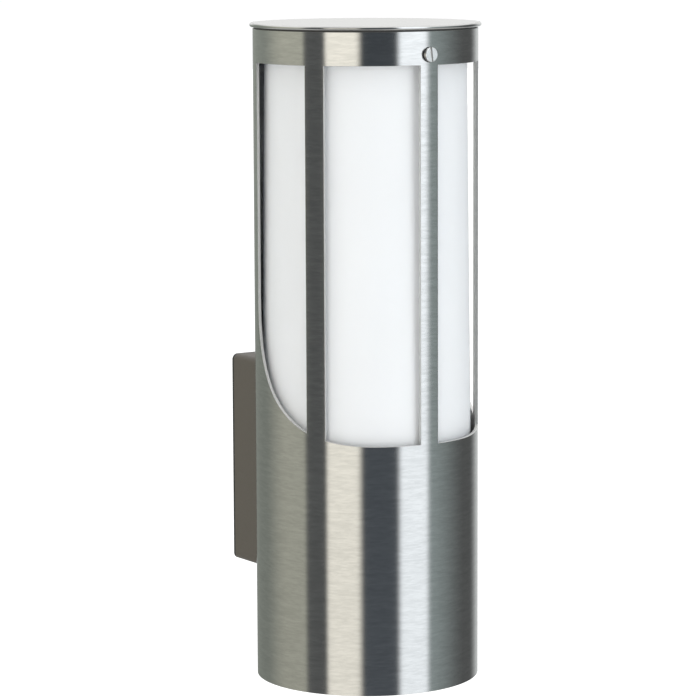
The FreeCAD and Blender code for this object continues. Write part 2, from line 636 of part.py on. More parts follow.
def dome_centre_z():
    return BULB_TIP_Z + BULB_LENGTH - BULB_RADIUS


def dome_rim_z():
    return dome_centre_z() - math.sqrt(BULB_RADIUS ** 2 - BULB_RIM_RADIUS ** 2)


def bulb_dome():
    outside = Part.makeSphere(BULB_RADIUS, on_axis(dome_centre_z()))
    inside = Part.makeSphere(BULB_RADIUS - BULB_WALL, on_axis(dome_centre_z()))
    return outside.cut(inside).cut(column(2 * BULB_RADIUS, dome_rim_z() - 2 * BULB_RADIUS, dome_rim_z()))


def bulb_body():
    """The bulb's housing, flaring from a neck in the cap to the dome's rim."""
    rim_z = dome_rim_z()
    neck_z = CAP_TOP_Z
    plug = CAP_ROOT_RADIUS - CAP_THICKNESS - PUSH_GAP
    plug_z = neck_z - HOUSING_PLUG_DEPTH
    half_z = (neck_z + rim_z) / 2
    flare = (BULB_NECK_RADIUS + BULB_RIM_RADIUS) / 2 - BULB_WALL
    inner_rim = BULB_RIM_RADIUS - 2 * BULB_WALL
    outline = [(plug - BULB_WALL, plug_z), (plug, plug_z), (plug, neck_z),
               (BULB_NECK_RADIUS, neck_z, flare, half_z),
               (BULB_RIM_RADIUS, rim_z), (inner_rim, rim_z, flare - BULB_WALL, half_z),
               (plug - BULB_WALL, neck_z + BULB_WALL)]
    return turned(outline)


def bulb_board():
    """The light board, which lies on the housing's rim inside the dome."""
    inner = BULB_RADIUS - BULB_WALL
    board_z = dome_rim_z()
    return column(math.sqrt(inner ** 2 - (dome_centre_z() - board_z) ** 2) - SLIDE_GAP, board_z,
                  board_z + BULB_BOARD_THICKNESS)


def bulb_cap():
    low_z = CAP_FOOT_Z
    high_z = low_z + CAP_RINGS * CAP_PITCH
    outer = waves(CAP_ROOT_RADIUS, CAP_CREST_RADIUS, low_z)
    inner = waves(CAP_ROOT_RADIUS, CAP_CREST_RADIUS, low_z, -CAP_THICKNESS)
    middle = (CAP_ROOT_RADIUS + CAP_CREST_RADIUS) / 2
    outline = outer + [(middle, CAP_TOP_Z), (middle - CAP_THICKNESS, CAP_TOP_Z)] + backwards(inner)
    return turned(outline[:-1] + [(middle - CAP_THICKNESS, low_z)])


def bulb_insulator():
    middle = (CAP_ROOT_RADIUS + CAP_CREST_RADIUS) / 2 - CAP_THICKNESS - SLIDE_GAP
    low_z = BULB_TIP_Z + TIP_HEIGHT
    high_z = CAP_FOOT_Z + INSULATOR_PLUG_DEPTH
    return turned([(0, low_z), (TIP_RADIUS, low_z), (middle, CAP_FOOT_Z), (middle, high_z), (0, high_z)])


def bulb_contact():
    high_z = BULB_TIP_Z + TIP_HEIGHT
    shoulder = (TIP_FLAT_RADIUS + 2 * TIP_RADIUS) / 3
    return turned([(0, BULB_TIP_Z), (TIP_FLAT_RADIUS, BULB_TIP_Z, shoulder, BULB_TIP_Z + TIP_HEIGHT * 0.4),
                   (TIP_RADIUS, high_z), (0, high_z)])


# --- Foot cap ---

def bottom_cap():
    """A cap pushed into the tube's foot, with three drain holes."""
    outside = TUBE_BORE - PUSH_GAP
    cap = column(outside, FOOT_Z, FOOT_Z + FOOT_CAP_HEIGHT)
    cap = cap.cut(column(outside - FOOT_CAP_WALL, FOOT_Z + FOOT_CAP_FLOOR, FOOT_Z + FOOT_CAP_HEIGHT))
    for turn in (90, 210, 330):
        angle = math.radians(turn)
        cap = cap.cut(column(DRAIN_DIAMETER / 2, FOOT_Z, FOOT_Z + FOOT_CAP_FLOOR,
                             DRAIN_OFFSET * math.sin(angle), DRAIN_OFFSET * math.cos(angle)))
    return cap


# --- Wall box ---

def wall_box():
    """A cast box, open at the wall, whose front is a saddle round the tube."""
    back_y = -WALL_GASKET_THICKNESS
    deep_y = AXIS_Y
    saddle = column(SADDLE_RADIUS, -BOX_HEIGHT, BOX_HEIGHT)
    outside = plate_outline(BOX_WIDTH, BOX_HEIGHT, BOX_CORNER_RADIUS, back_y, deep_y).cut(saddle)
    inside = block((-BOX_INNER_WIDTH / 2, deep_y, -BOX_INNER_HEIGHT / 2),
                   (BOX_INNER_WIDTH / 2, back_y, BOX_INNER_HEIGHT / 2))
    inside = inside.cut(column(SADDLE_BACK_RADIUS, -BOX_HEIGHT, BOX_HEIGHT))
    box = outside.cut(inside)
    for place in tube_screw_places():
        boss = rod(BOSS_DIAMETER / 2, place, TO_WALL, SADDLE_BACK_RADIUS + BOSS_LENGTH)
        box = box.fuse(boss.cut(saddle))
    box = box.cut(rod(LEAD_HOLE_DIAMETER / 2, on_axis(LEAD_HOLE_Z), TO_WALL, -AXIS_Y))
    tapped_length = tube_screw_seat() + TUBE_SCREW_LENGTH + SLIDE_GAP
    for place in tube_screw_places():
        box = box.cut(rod(TUBE_SCREW_DIAMETER / 2 + TAPPED_GAP, place, TO_WALL, tapped_length))
    for side in (-1, 1):
        start = Vector(0, -BOX_SCREW_SETBACK, 0)
        box = box.cut(rod(BOX_SCREW_DIAMETER / 2 + CLEARANCE_GAP, start, UP * side, BOX_HEIGHT))
    return box.removeSplitter()


def box_gasket():
    """The seal between the tube and the saddle."""
    half_width = BOX_WIDTH / 2 - BOX_GASKET_INSET
    half_height = BOX_HEIGHT / 2 - BOX_GASKET_INSET
    seal = ring(SADDLE_RADIUS - CURVED_GAP, TUBE_RADIUS + CURVED_GAP, -half_height, half_height)
    seal = seal.common(block((-half_width, AXIS_Y, -half_height), (half_width, 0, half_height)))
    return seal.cut(rear_holes())


def wall_gasket():
    outside = plate_outline(BOX_WIDTH, BOX_HEIGHT, BOX_CORNER_RADIUS, 0, -WALL_GASKET_THICKNESS)
    inside = block((-BOX_INNER_WIDTH / 2, -WALL_GASKET_THICKNESS, -BOX_INNER_HEIGHT / 2),
                   (BOX_INNER_WIDTH / 2, 0, BOX_INNER_HEIGHT / 2))
    return outside.cut(inside)


def tube_screw_seat():
    """How far behind the axis the washers' wall side lies, so that their edges touch the flange."""
    return math.sqrt(FLANGE_BORE ** 2 - (TUBE_WASHER_DIAMETER / 2) ** 2) - TUBE_WASHER_THICKNESS - CURVED_GAP


def tube_screws():
    """Hexagon screws from inside the tube into the bosses."""
    screws = []
    for seat in tube_screw_places(-tube_screw_seat()):
        head = hexagon(TUBE_SCREW_HEAD_FLATS, seat, TO_WALL * -1, TUBE_SCREW_HEAD_HEIGHT)
        shank = rod(TUBE_SCREW_DIAMETER / 2, seat, TO_WALL, TUBE_SCREW_LENGTH)
        screws.append(head.fuse(shank).removeSplitter())
    return screws


def tube_washers():
    washers = []
    for seat in tube_screw_places(-tube_screw_seat()):
        disc = rod(TUBE_WASHER_DIAMETER / 2, seat, TO_WALL, TUBE_WASHER_THICKNESS)
        hole = rod(TUBE_SCREW_DIAMETER / 2 + PUSH_GAP, seat, TO_WALL, TUBE_WASHER_THICKNESS)
        washers.append(disc.cut(hole))
    return washers


def box_screws():
    """Two screws, above and below, through the box into the wall plate's tabs."""
    return [slotted_screw(BOX_SCREW_DIAMETER, BOX_SCREW_LENGTH, PAN_HEAD_DIAMETER, PAN_HEAD_HEIGHT,
                          Vector(0, -BOX_SCREW_SETBACK, side * BOX_HEIGHT / 2), UP * -side)
            for side in (-1, 1)]


# --- Wall plate ---

def wall_plate():
    """A flat plate against the wall, with a tab turned forwards at its top and its bottom."""
    half = PLATE_HEIGHT / 2
    plate = block((-PLATE_WIDTH / 2, -PLATE_THICKNESS, -half), (PLATE_WIDTH / 2, 0, half))
    for side in (-1, 1):
        low, high = sorted((side * half, side * (half - PLATE_THICKNESS)))
        plate = plate.fuse(block((-TAB_WIDTH / 2, -TAB_REACH, low), (TAB_WIDTH / 2, 0, high)))
    cable_hole = Vector(0, -PLATE_THICKNESS, -GROMMET_DROP)
    cutters = [rod(GROMMET_HOLE_DIAMETER / 2, cable_hole, TO_WALL, PLATE_THICKNESS)]
    tab_start = Vector(0, -BOX_SCREW_SETBACK, 0)
    for side in (-1, 1):
        wall_hole = Vector(0, -PLATE_THICKNESS, side * (BOX_HEIGHT / 2 - WALL_HOLE_MARGIN))
        cutters.append(rod(WALL_HOLE_DIAMETER / 2, wall_hole, TO_WALL, PLATE_THICKNESS))
        cutters.append(rod(BOX_SCREW_DIAMETER / 2 + TAPPED_GAP, tab_start, UP * side, half))
        block_hole = Vector(side * block_screw_offset(), -PLATE_THICKNESS, BLOCK_CENTRE_Z)
        cutters.append(rod(BLOCK_SCREW_DIAMETER / 2 + TAPPED_GAP, block_hole, TO_WALL, PLATE_THICKNESS))
    return plate.cut(cutters).removeSplitter()


def cable_grommet():
    hole = Vector(0, -PLATE_THICKNESS, -GROMMET_DROP)
    neck = rod(GROMMET_HOLE_DIAMETER / 2 - PUSH_GAP, hole, TO_WALL, PLATE_THICKNESS)
    flange = rod(GROMMET_FLANGE_DIAMETER / 2, hole, TO_WALL * -1, GROMMET_FLANGE_THICKNESS)
    length = PLATE_THICKNESS + GROMMET_FLANGE_THICKNESS
    bore = rod(GROMMET_BORE_DIAMETER / 2, Vector(0, -length, -GROMMET_DROP), TO_WALL, length)
    return neck.fuse(flange).cut(bore).removeSplitter()


# --- Terminal block ---

def block_screw_offset():
    """The fixing screws stand in the grooves between the block's three ways."""
    return BLOCK_PITCH / 2


def block_ways():
    return [index * BLOCK_PITCH for index in (-1, 0, 1)]


def clamp_screw_places():
    """The middles of the clamping screws, over each way's brass clamp."""
    offsets = (-CLAMP_SCREW_SPACING / 2, CLAMP_SCREW_SPACING / 2)
    return [Vector(x, BLOCK_BORE_Y, BLOCK_CENTRE_Z + offset) for x in block_ways() for offset in offsets]


def terminal_block():
    """A three-way block: a floor on the plate, and a tower for each way."""
    width, depth, height = BLOCK_SIZE
    low_z = BLOCK_CENTRE_Z - height / 2
    high_z = BLOCK_CENTRE_Z + height / 2
    back_y = -PLATE_THICKNESS
    floor_y = back_y - BLOCK_FLOOR
    body = block((-width / 2, floor_y, low_z), (width / 2, back_y, high_z))
    half_tower = (BLOCK_PITCH - BLOCK_GROOVE) / 2
    for x in block_ways():
        tower = block((x - half_tower, back_y - depth, low_z), (x + half_tower, floor_y, high_z))
        side = CLAMP_SIDE / 2 + PUSH_GAP
        slot = block((x - side, BLOCK_BORE_Y - side, low_z), (x + side, BLOCK_BORE_Y + side, high_z))
        body = body.fuse(tower).cut(slot)
    for place in clamp_screw_places():
        body = body.cut(rod(CLAMP_SCREW_DIAMETER / 2 + CLEARANCE_GAP, place, TO_WALL * -1, depth))
    for side in (-1, 1):
        start = Vector(side * block_screw_offset(), back_y, BLOCK_CENTRE_Z)
        body = body.cut(rod(BLOCK_SCREW_DIAMETER / 2 + CLEARANCE_GAP, start, TO_WALL * -1, depth))
        head_seat = Vector(side * block_screw_offset(), floor_y, BLOCK_CENTRE_Z)
        pocket_radius = BLOCK_SCREW_HEAD_DIAMETER / 2 + CLEARANCE_GAP
        body = body.cut(rod(pocket_radius, head_seat, TO_WALL * -1, depth))
    return body.removeSplitter()


def terminal_clamps():
    """Brass clamps, one in each way, bored for the leads and tapped for their screws."""
    length = BLOCK_SIZE[2] - 2 * CLAMP_INSET
    clamps = []
    for x in block_ways():
        side = CLAMP_SIDE / 2
        body = block((x - side, BLOCK_BORE_Y - side, BLOCK_CENTRE_Z - length / 2),
                     (x + side, BLOCK_BORE_Y + side, BLOCK_CENTRE_Z + length / 2))
        bore = rod(CLAMP_BORE_DIAMETER / 2, Vector(x, BLOCK_BORE_Y, BLOCK_CENTRE_Z - length / 2), UP, length)
        body = body.cut(bore)
        for place in clamp_screw_places():
            body = body.cut(rod(CLAMP_SCREW_DIAMETER / 2 + TAPPED_GAP, place, TO_WALL * -1, CLAMP_SIDE))
        clamps.append(body)
    return clamps


def terminal_clamp_screws():
    """Headless screws that press the leads in the clamps."""
    screws = []
    half_slot = CLAMP_SCREW_SLOT / 2
    for place in clamp_screw_places():
        start = place - TO_WALL * (LEAD_DIAMETER / 2 + SLIDE_GAP)
        shank = rod(CLAMP_SCREW_DIAMETER / 2, start, TO_WALL * -1, CLAMP_SCREW_LENGTH)
        end_y = start.y - CLAMP_SCREW_LENGTH
        slot = block((place.x - CLAMP_SCREW_DIAMETER, end_y - half_slot, place.z - half_slot),
                     (place.x + CLAMP_SCREW_DIAMETER, end_y + CLAMP_SCREW_SLOT, place.z + half_slot))
        screws.append(shank.cut(slot))
    return screws


def terminal_block_screws():
    """Screws through the block's floor into the wall plate."""
    length = BLOCK_FLOOR + PLATE_THICKNESS - SLIDE_GAP
    seat_y = -(PLATE_THICKNESS + BLOCK_FLOOR)
    return [slotted_screw(BLOCK_SCREW_DIAMETER, length, BLOCK_SCREW_HEAD_DIAMETER, BLOCK_SCREW_HEAD_HEIGHT,
                          Vector(side * block_screw_offset(), seat_y, BLOCK_CENTRE_Z), TO_WALL)
            for side in (-1, 1)]


# --- Leads and earth ---

def lead_bush():
    """A sleeve through bracket, tube and box, with a flange inside the tube."""
    head_reach = math.sqrt(FLANGE_BORE ** 2 - (BUSH_FLANGE_DIAMETER / 2) ** 2) - CURVED_GAP
    head_y = AXIS_Y + head_reach - BUSH_FLANGE_THICKNESS
    end_y = AXIS_Y + SADDLE_BACK_RADIUS + BUSH_TAIL
    head = rod(BUSH_FLANGE_DIAMETER / 2, Vector(0, head_y, LEAD_HOLE_Z), TO_WALL, BUSH_FLANGE_THICKNESS)
    sleeve = rod(LEAD_HOLE_DIAMETER / 2 - PUSH_GAP, Vector(0, head_y, LEAD_HOLE_Z), TO_WALL, end_y - head_y)
    bore = rod(BUSH_BORE_DIAMETER / 2, Vector(0, head_y, LEAD_HOLE_Z), TO_WALL, end_y - head_y)
    return head.fuse(sleeve).cut(bore).removeSplitter()


def mirrored(points):
    return [(-x, y, z) for x, y, z in points]


def inside_y():
    """Where the leads start to bend inside the tube."""
    return AXIS_Y + FLANGE_BORE - LEAD_STRAIGHT


def live_route():
    """From the left way, round the upper boss, through the bush and up into the left terminal."""
    way_x = -BLOCK_PITCH
    hole_x = -LEAD_PAIR_OFFSET
    hole_z = LEAD_HOLE_Z + LEAD_PAIR_RISE
    end_z = DECK_Z + TERMINAL_SIZE[2] * TERMINAL_BORE_SHARE
    drop_z = DECK_UNDERSIDE_Z - 1.5 * TERMINAL_OFFSET
    return [(way_x, BLOCK_BORE_Y, BLOCK_CENTRE_Z - LEAD_HOLD), (way_x, BLOCK_BORE_Y, LEAD_HOLE_Z + 16),
            (hole_x, BLOCK_BORE_Y - 1, hole_z), (hole_x, inside_y(), hole_z),
            (-8, AXIS_Y + 14, hole_z + 3), (-TERMINAL_OFFSET, AXIS_Y, drop_z),
            (-TERMINAL_OFFSET, AXIS_Y, end_z)]


def earth_route():
    """From the middle way, behind the upper boss, through the bush to the tag under the deck."""
    hole_z = LEAD_HOLE_Z - EARTH_LEAD_DROP
    right, reach = EARTH_SCREW_PLACE
    barrel_z = earth_barrel_z()
    tag_y = AXIS_Y - reach + EARTH_TAG_LENGTH
    return [(0, BLOCK_BORE_Y, BLOCK_CENTRE_Z - LEAD_HOLD), (0, BLOCK_BORE_Y, LEAD_HOLE_Z + 12),
            (0, BLOCK_BORE_Y - 1, hole_z), (0, inside_y(), hole_z), (11, AXIS_Y + 26, hole_z - 1),
            (20, AXIS_Y + 18, hole_z + 10), (right, AXIS_Y + 12, barrel_z - 8),
            (right, AXIS_Y + 5, barrel_z), (right, tag_y + 1, barrel_z)]


def earth_barrel_z():
    """The middle of the tag's barrel, whose top is level with the tag's underside."""
    return DECK_UNDERSIDE_Z - EARTH_TAG_THICKNESS - LEAD_DIAMETER / 2 - PUSH_GAP


def earth_tag():
    """A ring tongue under the deck with a barrel crimped on the earth lead."""
    right, reach = EARTH_SCREW_PLACE
    low_z = DECK_UNDERSIDE_Z - EARTH_TAG_THICKNESS
    eye = column(EARTH_EYE_RADIUS, low_z, DECK_UNDERSIDE_Z, reach, right)
    barrel_y = AXIS_Y - reach + EARTH_TAG_LENGTH
    half_width = EARTH_TONGUE_WIDTH / 2
    tongue = block((right - half_width, AXIS_Y - reach, low_z),
                   (right + half_width, barrel_y + EARTH_BARREL_LENGTH, DECK_UNDERSIDE_Z))
    bore_radius = LEAD_DIAMETER / 2 + PUSH_GAP
    start = Vector(right, barrel_y, earth_barrel_z())
    barrel = rod(bore_radius + EARTH_BARREL_WALL, start, TO_WALL, EARTH_BARREL_LENGTH)
    tag = eye.fuse(tongue).fuse(barrel)
    tag = tag.cut(rod(bore_radius, start, TO_WALL, EARTH_BARREL_LENGTH))
    hole = column(EARTH_SCREW_DIAMETER / 2 + CLEARANCE_GAP, low_z, DECK_UNDERSIDE_Z, reach, right)
    return tag.cut(hole).removeSplitter()


def earth_screw():
    right, reach = EARTH_SCREW_PLACE
    seat = on_axis(DECK_UNDERSIDE_Z - EARTH_TAG_THICKNESS, reach, right)
    return slotted_screw(EARTH_SCREW_DIAMETER, EARTH_SCREW_LENGTH, EARTH_SCREW_HEAD_DIAMETER,
                         PAN_HEAD_HEIGHT, seat, UP)


def earth_nut():
    right, reach = EARTH_SCREW_PLACE
    high_z = DECK_Z + EARTH_NUT_HEIGHT
    nut = hexagon(EARTH_NUT_FLATS, on_axis(DECK_Z, reach, right), UP, EARTH_NUT_HEIGHT)
    return nut.cut(column(EARTH_SCREW_DIAMETER / 2 + TAPPED_GAP, DECK_Z, high_z, reach, right))


def main():
    os.makedirs("parts", exist_ok=True)
    save("tube_body", tube_body())
    save("top_lid", top_lid())
    save("lid_gasket", lid_gasket())
    save("lid_spigot", lid_spigot())
    save("lid_pad", lid_pad())
    save("lid_screw", lid_screw())
    save("lid_screw_washer", lid_screw_washer())
    save("opal_diffuser", opal_diffuser())
    save("diffuser_gasket", diffuser_gasket())
    save("gear_bracket", gear_bracket())
    save("lampholder_body", lampholder_body())
    save("lampholder_shell", lampholder_shell())
    save("lampholder_centre_contact", lampholder_centre_contact())
    save("lampholder_terminals", *lampholder_terminals())
    save("lampholder_terminal_screws", *lampholder_terminal_screws())
    save("lampholder_screws", *lampholder_screws())
    save("bulb_dome", bulb_dome())
    save("bulb_body", bulb_body())
    save("bulb_board", bulb_board())
    save("bulb_cap", bulb_cap())
    save("bulb_insulator", bulb_insulator())
    save("bulb_contact", bulb_contact())
    save("bottom_cap", bottom_cap())
    save("wall_box", wall_box())
    save("box_gasket", box_gasket())
    save("wall_gasket", wall_gasket())
    save("tube_screws", *tube_screws())
    save("tube_washers", *tube_washers())
    save("box_screws", *box_screws())
    save("wall_plate", wall_plate())
    save("cable_grommet", cable_grommet())
    save("terminal_block", terminal_block())
    save("terminal_clamps", *terminal_clamps())
    save("terminal_clamp_screws", *terminal_clamp_screws())
    save("terminal_block_screws", *terminal_block_screws())
    save("lead_bush", lead_bush())
    save("live_lead", lead("live_lead", live_route()))
    save("neutral_lead", lead("neutral_lead", mirrored(live_route())))
    save("earth_lead", lead("earth_lead", earth_route()))
    save("earth_tag", earth_tag())
    save("earth_screw", earth_screw())
    save("earth_nut", earth_nut())


main()
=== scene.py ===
import logging
import math
from dataclasses import dataclass
from enum import Enum
from typing import Any, Dict, List, Optional, Sequence, Tuple, Union

import bpy
import numpy as np
from mathutils import Matrix


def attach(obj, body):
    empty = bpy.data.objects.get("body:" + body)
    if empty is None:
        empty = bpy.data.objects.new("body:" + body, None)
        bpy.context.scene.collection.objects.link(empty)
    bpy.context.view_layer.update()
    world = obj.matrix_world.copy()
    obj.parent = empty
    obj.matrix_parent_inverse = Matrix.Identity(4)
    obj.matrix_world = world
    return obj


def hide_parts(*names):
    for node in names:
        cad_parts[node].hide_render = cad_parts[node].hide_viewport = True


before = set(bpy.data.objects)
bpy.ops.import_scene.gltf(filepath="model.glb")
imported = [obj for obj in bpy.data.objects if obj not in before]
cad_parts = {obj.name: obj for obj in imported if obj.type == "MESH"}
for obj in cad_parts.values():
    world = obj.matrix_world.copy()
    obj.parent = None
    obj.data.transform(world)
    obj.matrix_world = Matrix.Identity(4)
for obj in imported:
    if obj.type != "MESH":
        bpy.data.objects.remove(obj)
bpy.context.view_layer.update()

# Everything is in the row frame, in metres: +Z is up, +Y points into the wall, and the tube stands at AXIS.
LOG = logging.getLogger("tube_wall_light")
MM = 0.001
AXIS = (0.0, -0.080)
FOOT_Z = -0.100
# Degrees from -Y towards -X: the way to the camera, from which the room's bearings and the lamps' are counted.
ROOM_TURN = 33.5

Colour = Tuple[float, float, float]
Number = Union["Wire", float]


class Wire:
    """A value that runs through a shader; its operators add Math nodes."""

    def __init__(self, recipe: "Recipe", socket: bpy.types.NodeSocket) -> None:
        """Keeps the recipe that the value belongs to, and the socket that gives it."""
        self.recipe = recipe
        self.socket = socket

    def __add__(self, other: Number) -> "Wire":
        """self + other."""
        return self.recipe.math("ADD", self, other)

    def __radd__(self, other: Number) -> "Wire":
        """other + self."""
        return self.recipe.math("ADD", other, self)

    def __sub__(self, other: Number) -> "Wire":
        """self - other."""
        return self.recipe.math("SUBTRACT", self, other)

    def __rsub__(self, other: Number) -> "Wire":
        """other - self."""
        return self.recipe.math("SUBTRACT", other, self)

    def __mul__(self, other: Number) -> "Wire":
        """self * other."""
        return self.recipe.math("MULTIPLY", self, other)

    def __rmul__(self, other: Number) -> "Wire":
        """other * self."""
        return self.recipe.math("MULTIPLY", other, self)


class Recipe:
    """Builds one node tree, for a material or for the world."""

    def __init__(self, tree: bpy.types.NodeTree) -> None:
        """Takes an emptied node tree."""
        self.tree = tree
        tree.nodes.clear()

    def node(self, kind: str, settings: Optional[Dict[str, Any]] = None,
             sockets: Optional[Dict[Any, Any]] = None) -> bpy.types.Node:
        """Adds a node.

        Args:
            kind: the node's type, such as "ShaderNodeMath".
            settings: its own settings, set first; "stops" gives a ramp's (place, colour) pairs.
            sockets: a value or a Wire for each named or numbered input.

        Returns:
            The new node.
        """
        made = self.tree.nodes.new(kind)
        for name, value in (settings or {}).items():
            if name == "stops":
                self._set_stops(made.color_ramp, value)
            else:
                setattr(made, name, value)
        for name, value in (sockets or {}).items():
            if isinstance(value, Wire):
                self.tree.links.new(value.socket, made.inputs[name])
            else:
                made.inputs[name].default_value = value
        return made

    @staticmethod
    def _set_stops(ramp: bpy.types.ColorRamp, stops: Sequence[Tuple[float, Colour]]) -> None:
        """Gives a colour ramp its stops, which come in rising order."""
        while len(ramp.elements) > 1:
            ramp.elements.remove(ramp.elements[-1])
        ramp.elements[0].position = stops[0][0]
        ramp.elements[0].color = (*stops[0][1], 1.0)
        for place, colour in stops[1:]:
            ramp.elements.new(place).color = (*colour, 1.0)

    def wire(self, node: bpy.types.Node, output: Union[int, str] = 0) -> Wire:
        """The value that one of a node's outputs gives."""
        return Wire(self, node.outputs[output])

    def math(self, operation: str, *values: Number) -> Wire:
        """One Math node on one to three values."""
        node = self.node("ShaderNodeMath", {"operation": operation}, dict(enumerate(values)))
        return self.wire(node)

    def blend(self, share: Number, first: Any, second: Any) -> Wire:
        """A colour that goes from first to second as share goes from 0 to 1."""
        node = self.node("ShaderNodeMix", {"data_type": "RGBA"}, {0: share, 6: first, 7: second})
        return self.wire(node, 2)

    def step(self, value: Number, low: float, high: float, out_low: float = 0.0, out_high: float = 1.0) -> Wire:
        """A soft step of value from low to high, given as out_low to out_high."""
        node = self.node("ShaderNodeMapRange", {"interpolation_type": "SMOOTHSTEP"},
                         {0: value, 1: low, 2: high, 3: out_low, 4: out_high})
        return self.wire(node)

    def place(self) -> Wire:
        """The point on the surface in object coordinates, which here are the row frame's metres."""
        return self.wire(self.node("ShaderNodeTexCoord"), "Object")

    def parts(self, point: Wire) -> Tuple[Wire, Wire, Wire]:
        """The x, y and z of a point."""
        node = self.node("ShaderNodeSeparateXYZ", None, {0: point})
        return self.wire(node, 0), self.wire(node, 1), self.wire(node, 2)

    def stretched(self, point: Wire, scale: Sequence[float]) -> Wire:
        """The point multiplied by a scale for each of x, y and z."""
        node = self.node("ShaderNodeVectorMath", {"operation": "MULTIPLY"}, {0: point, 1: tuple(scale)})
        return self.wire(node)

    def noise(self, point: Wire, scale: Sequence[float], detail: float = 2.0, roughness: float = 0.5) -> Wire:
        """Smooth noise of about 0 to 1, whose features are 1/scale metres long on each axis."""
        node = self.node("ShaderNodeTexNoise", {"noise_dimensions": "3D"},
                         {"Vector": self.stretched(point, scale), "Scale": 1.0, "Detail": detail,
                          "Roughness": roughness})
        return self.wire(node)

    def bump(self, height: Wire, depth: float, strength: float = 1.0) -> Wire:
        """A normal from a height of 0 to 1 that stands for depth metres."""
        node = self.node("ShaderNodeBump", None, {"Strength": strength, "Distance": depth, "Height": height})
        return self.wire(node)


@dataclass(frozen=True)
class Finish:
    """A surface finish; material() writes its nodes once and hands out the same material afterwards."""

    name: str

    def material(self) -> bpy.types.Material:
        """The finish as a material."""
        found = bpy.data.materials.get(self.name)
        if found is not None:
            return found
        made = bpy.data.materials.new(self.name)
        made.use_nodes = True
        recipe = Recipe(made.node_tree)
        recipe.node("ShaderNodeOutputMaterial", None, {"Surface": self.surface(recipe)})
        return made

    def surface(self, recipe: Recipe) -> Wire:
        """The finish's shader."""
        return recipe.wire(recipe.node("ShaderNodeBsdfPrincipled", None, self.sockets(recipe, recipe.place())))

    def sockets(self, recipe: Recipe, point: Wire) -> Dict[str, Any]:
        """What feeds the shader's inputs, by name."""
        raise NotImplementedError


class Grain(Enum):
    """The way that a steel surface was brushed: how quickly its lines change along x, y and z, per metre."""

    AROUND = (230.0, 230.0, 1300.0)
    ACROSS = (6.0, 2200.0, 6.0)
    CLOUDY = (900.0, 900.0, 900.0)


# How brush lines show: how much coarser the broad ones are, how far the tone falls and rises, how far the roughness
# swings with the lines and with clouds, and the lines' depth in metres.
BROAD_LINES = 0.35
TONE_FALL, TONE_RISE = 0.12, 0.09
LINE_SWING, CLOUD_SWING = 0.06, 0.03
LINE_DEPTH = 0.000005


@dataclass(frozen=True)
class BrushedSteel(Finish):
    """Stainless steel with fine brush lines, which spread its highlights across the lines."""

    colour: Colour
    roughness: float
    grain: Grain
    spread: float = 0.0
    contrast: float = 1.0
    metal: float = 1.0

    def sockets(self, recipe: Recipe, point: Wire) -> Dict[str, Any]:
        """Fine and broad lines vary the tone and the roughness, and a shallow bump follows them."""
        fine = recipe.noise(point, self.grain.value, 3.0, 0.62)
        broad = recipe.noise(point, [value * BROAD_LINES for value in self.grain.value], 2.0, 0.55)
        cloud = recipe.noise(point, (45.0, 45.0, 30.0), 2.0)
        lines = fine * 0.5 + broad * 0.5
        tone = recipe.step(lines, 0.30, 0.70)
        dark = tuple(value * (1.0 - TONE_FALL * self.contrast) for value in self.colour) + (1.0,)
        pale = tuple(min(1.0, value * (1.0 + TONE_RISE * self.contrast)) for value in self.colour) + (1.0,)
        return {
            "Base Color": recipe.blend(tone, dark, pale),
            "Metallic": self.metal,
            "Roughness": (lines - 0.5) * (LINE_SWING * self.contrast) + (cloud - 0.5) * CLOUD_SWING + self.roughness,
            "Anisotropic": self.spread,
            "Anisotropic Rotation": 0.25,
            "Normal": recipe.bump(lines, LINE_DEPTH * self.contrast),
        }


@dataclass(frozen=True)
class TurnedSteel(Finish):
    """A turned screw: faint rings round the screw's own axis, which runs along y through centre (x, z)."""

    colour: Colour
    roughness: float
    centre: Tuple[float, float]

    def sockets(self, recipe: Recipe, point: Wire) -> Dict[str, Any]:
        """The ring pattern is a sine of the distance from the axis, broken up by noise."""
        x, _, z = recipe.parts(point)
        across = x - self.centre[0]
        up = z - self.centre[1]
        radius = recipe.math("SQRT", across * across + up * up)
        fleck = recipe.noise(point, (1500.0, 1500.0, 1500.0), 2.0)
        rings = recipe.math("SINE", radius * 21000.0 + fleck * 2.0) * 0.5 + 0.5
        dark = tuple(value * 0.90 for value in self.colour) + (1.0,)
        return {
            "Base Color": recipe.blend(rings * 0.6 + fleck * 0.4, dark, (*self.colour, 1.0)),
            "Metallic": 1.0,
            "Roughness": self.roughness + (fleck - 0.5) * 0.12,
            "Normal": recipe.bump(rings, 0.000006),
        }


@dataclass(frozen=True)
class PlatedSheet(Finish):
    """Plated or lacquered sheet metal with soft clouds and a few darker flecks."""

    colour: Colour
    roughness: float
    tarnish: Colour

    def sockets(self, recipe: Recipe, point: Wire) -> Dict[str, Any]:
        """Broad clouds draw the tarnish, and fine grain roughens it."""
        cloud = recipe.noise(point, (130.0, 130.0, 130.0), 4.0, 0.6)
        grain = recipe.noise(point, (1400.0, 1400.0, 1400.0), 2.0)
        return {
            "Base Color": recipe.blend(recipe.step(cloud, 0.45, 0.75), (*self.colour, 1.0), (*self.tarnish, 1.0)),
            "Metallic": 1.0,
            "Roughness": self.roughness + (cloud - 0.5) * 0.18 + (grain - 0.5) * 0.08,
            "Normal": recipe.bump(grain, 0.00001),
        }


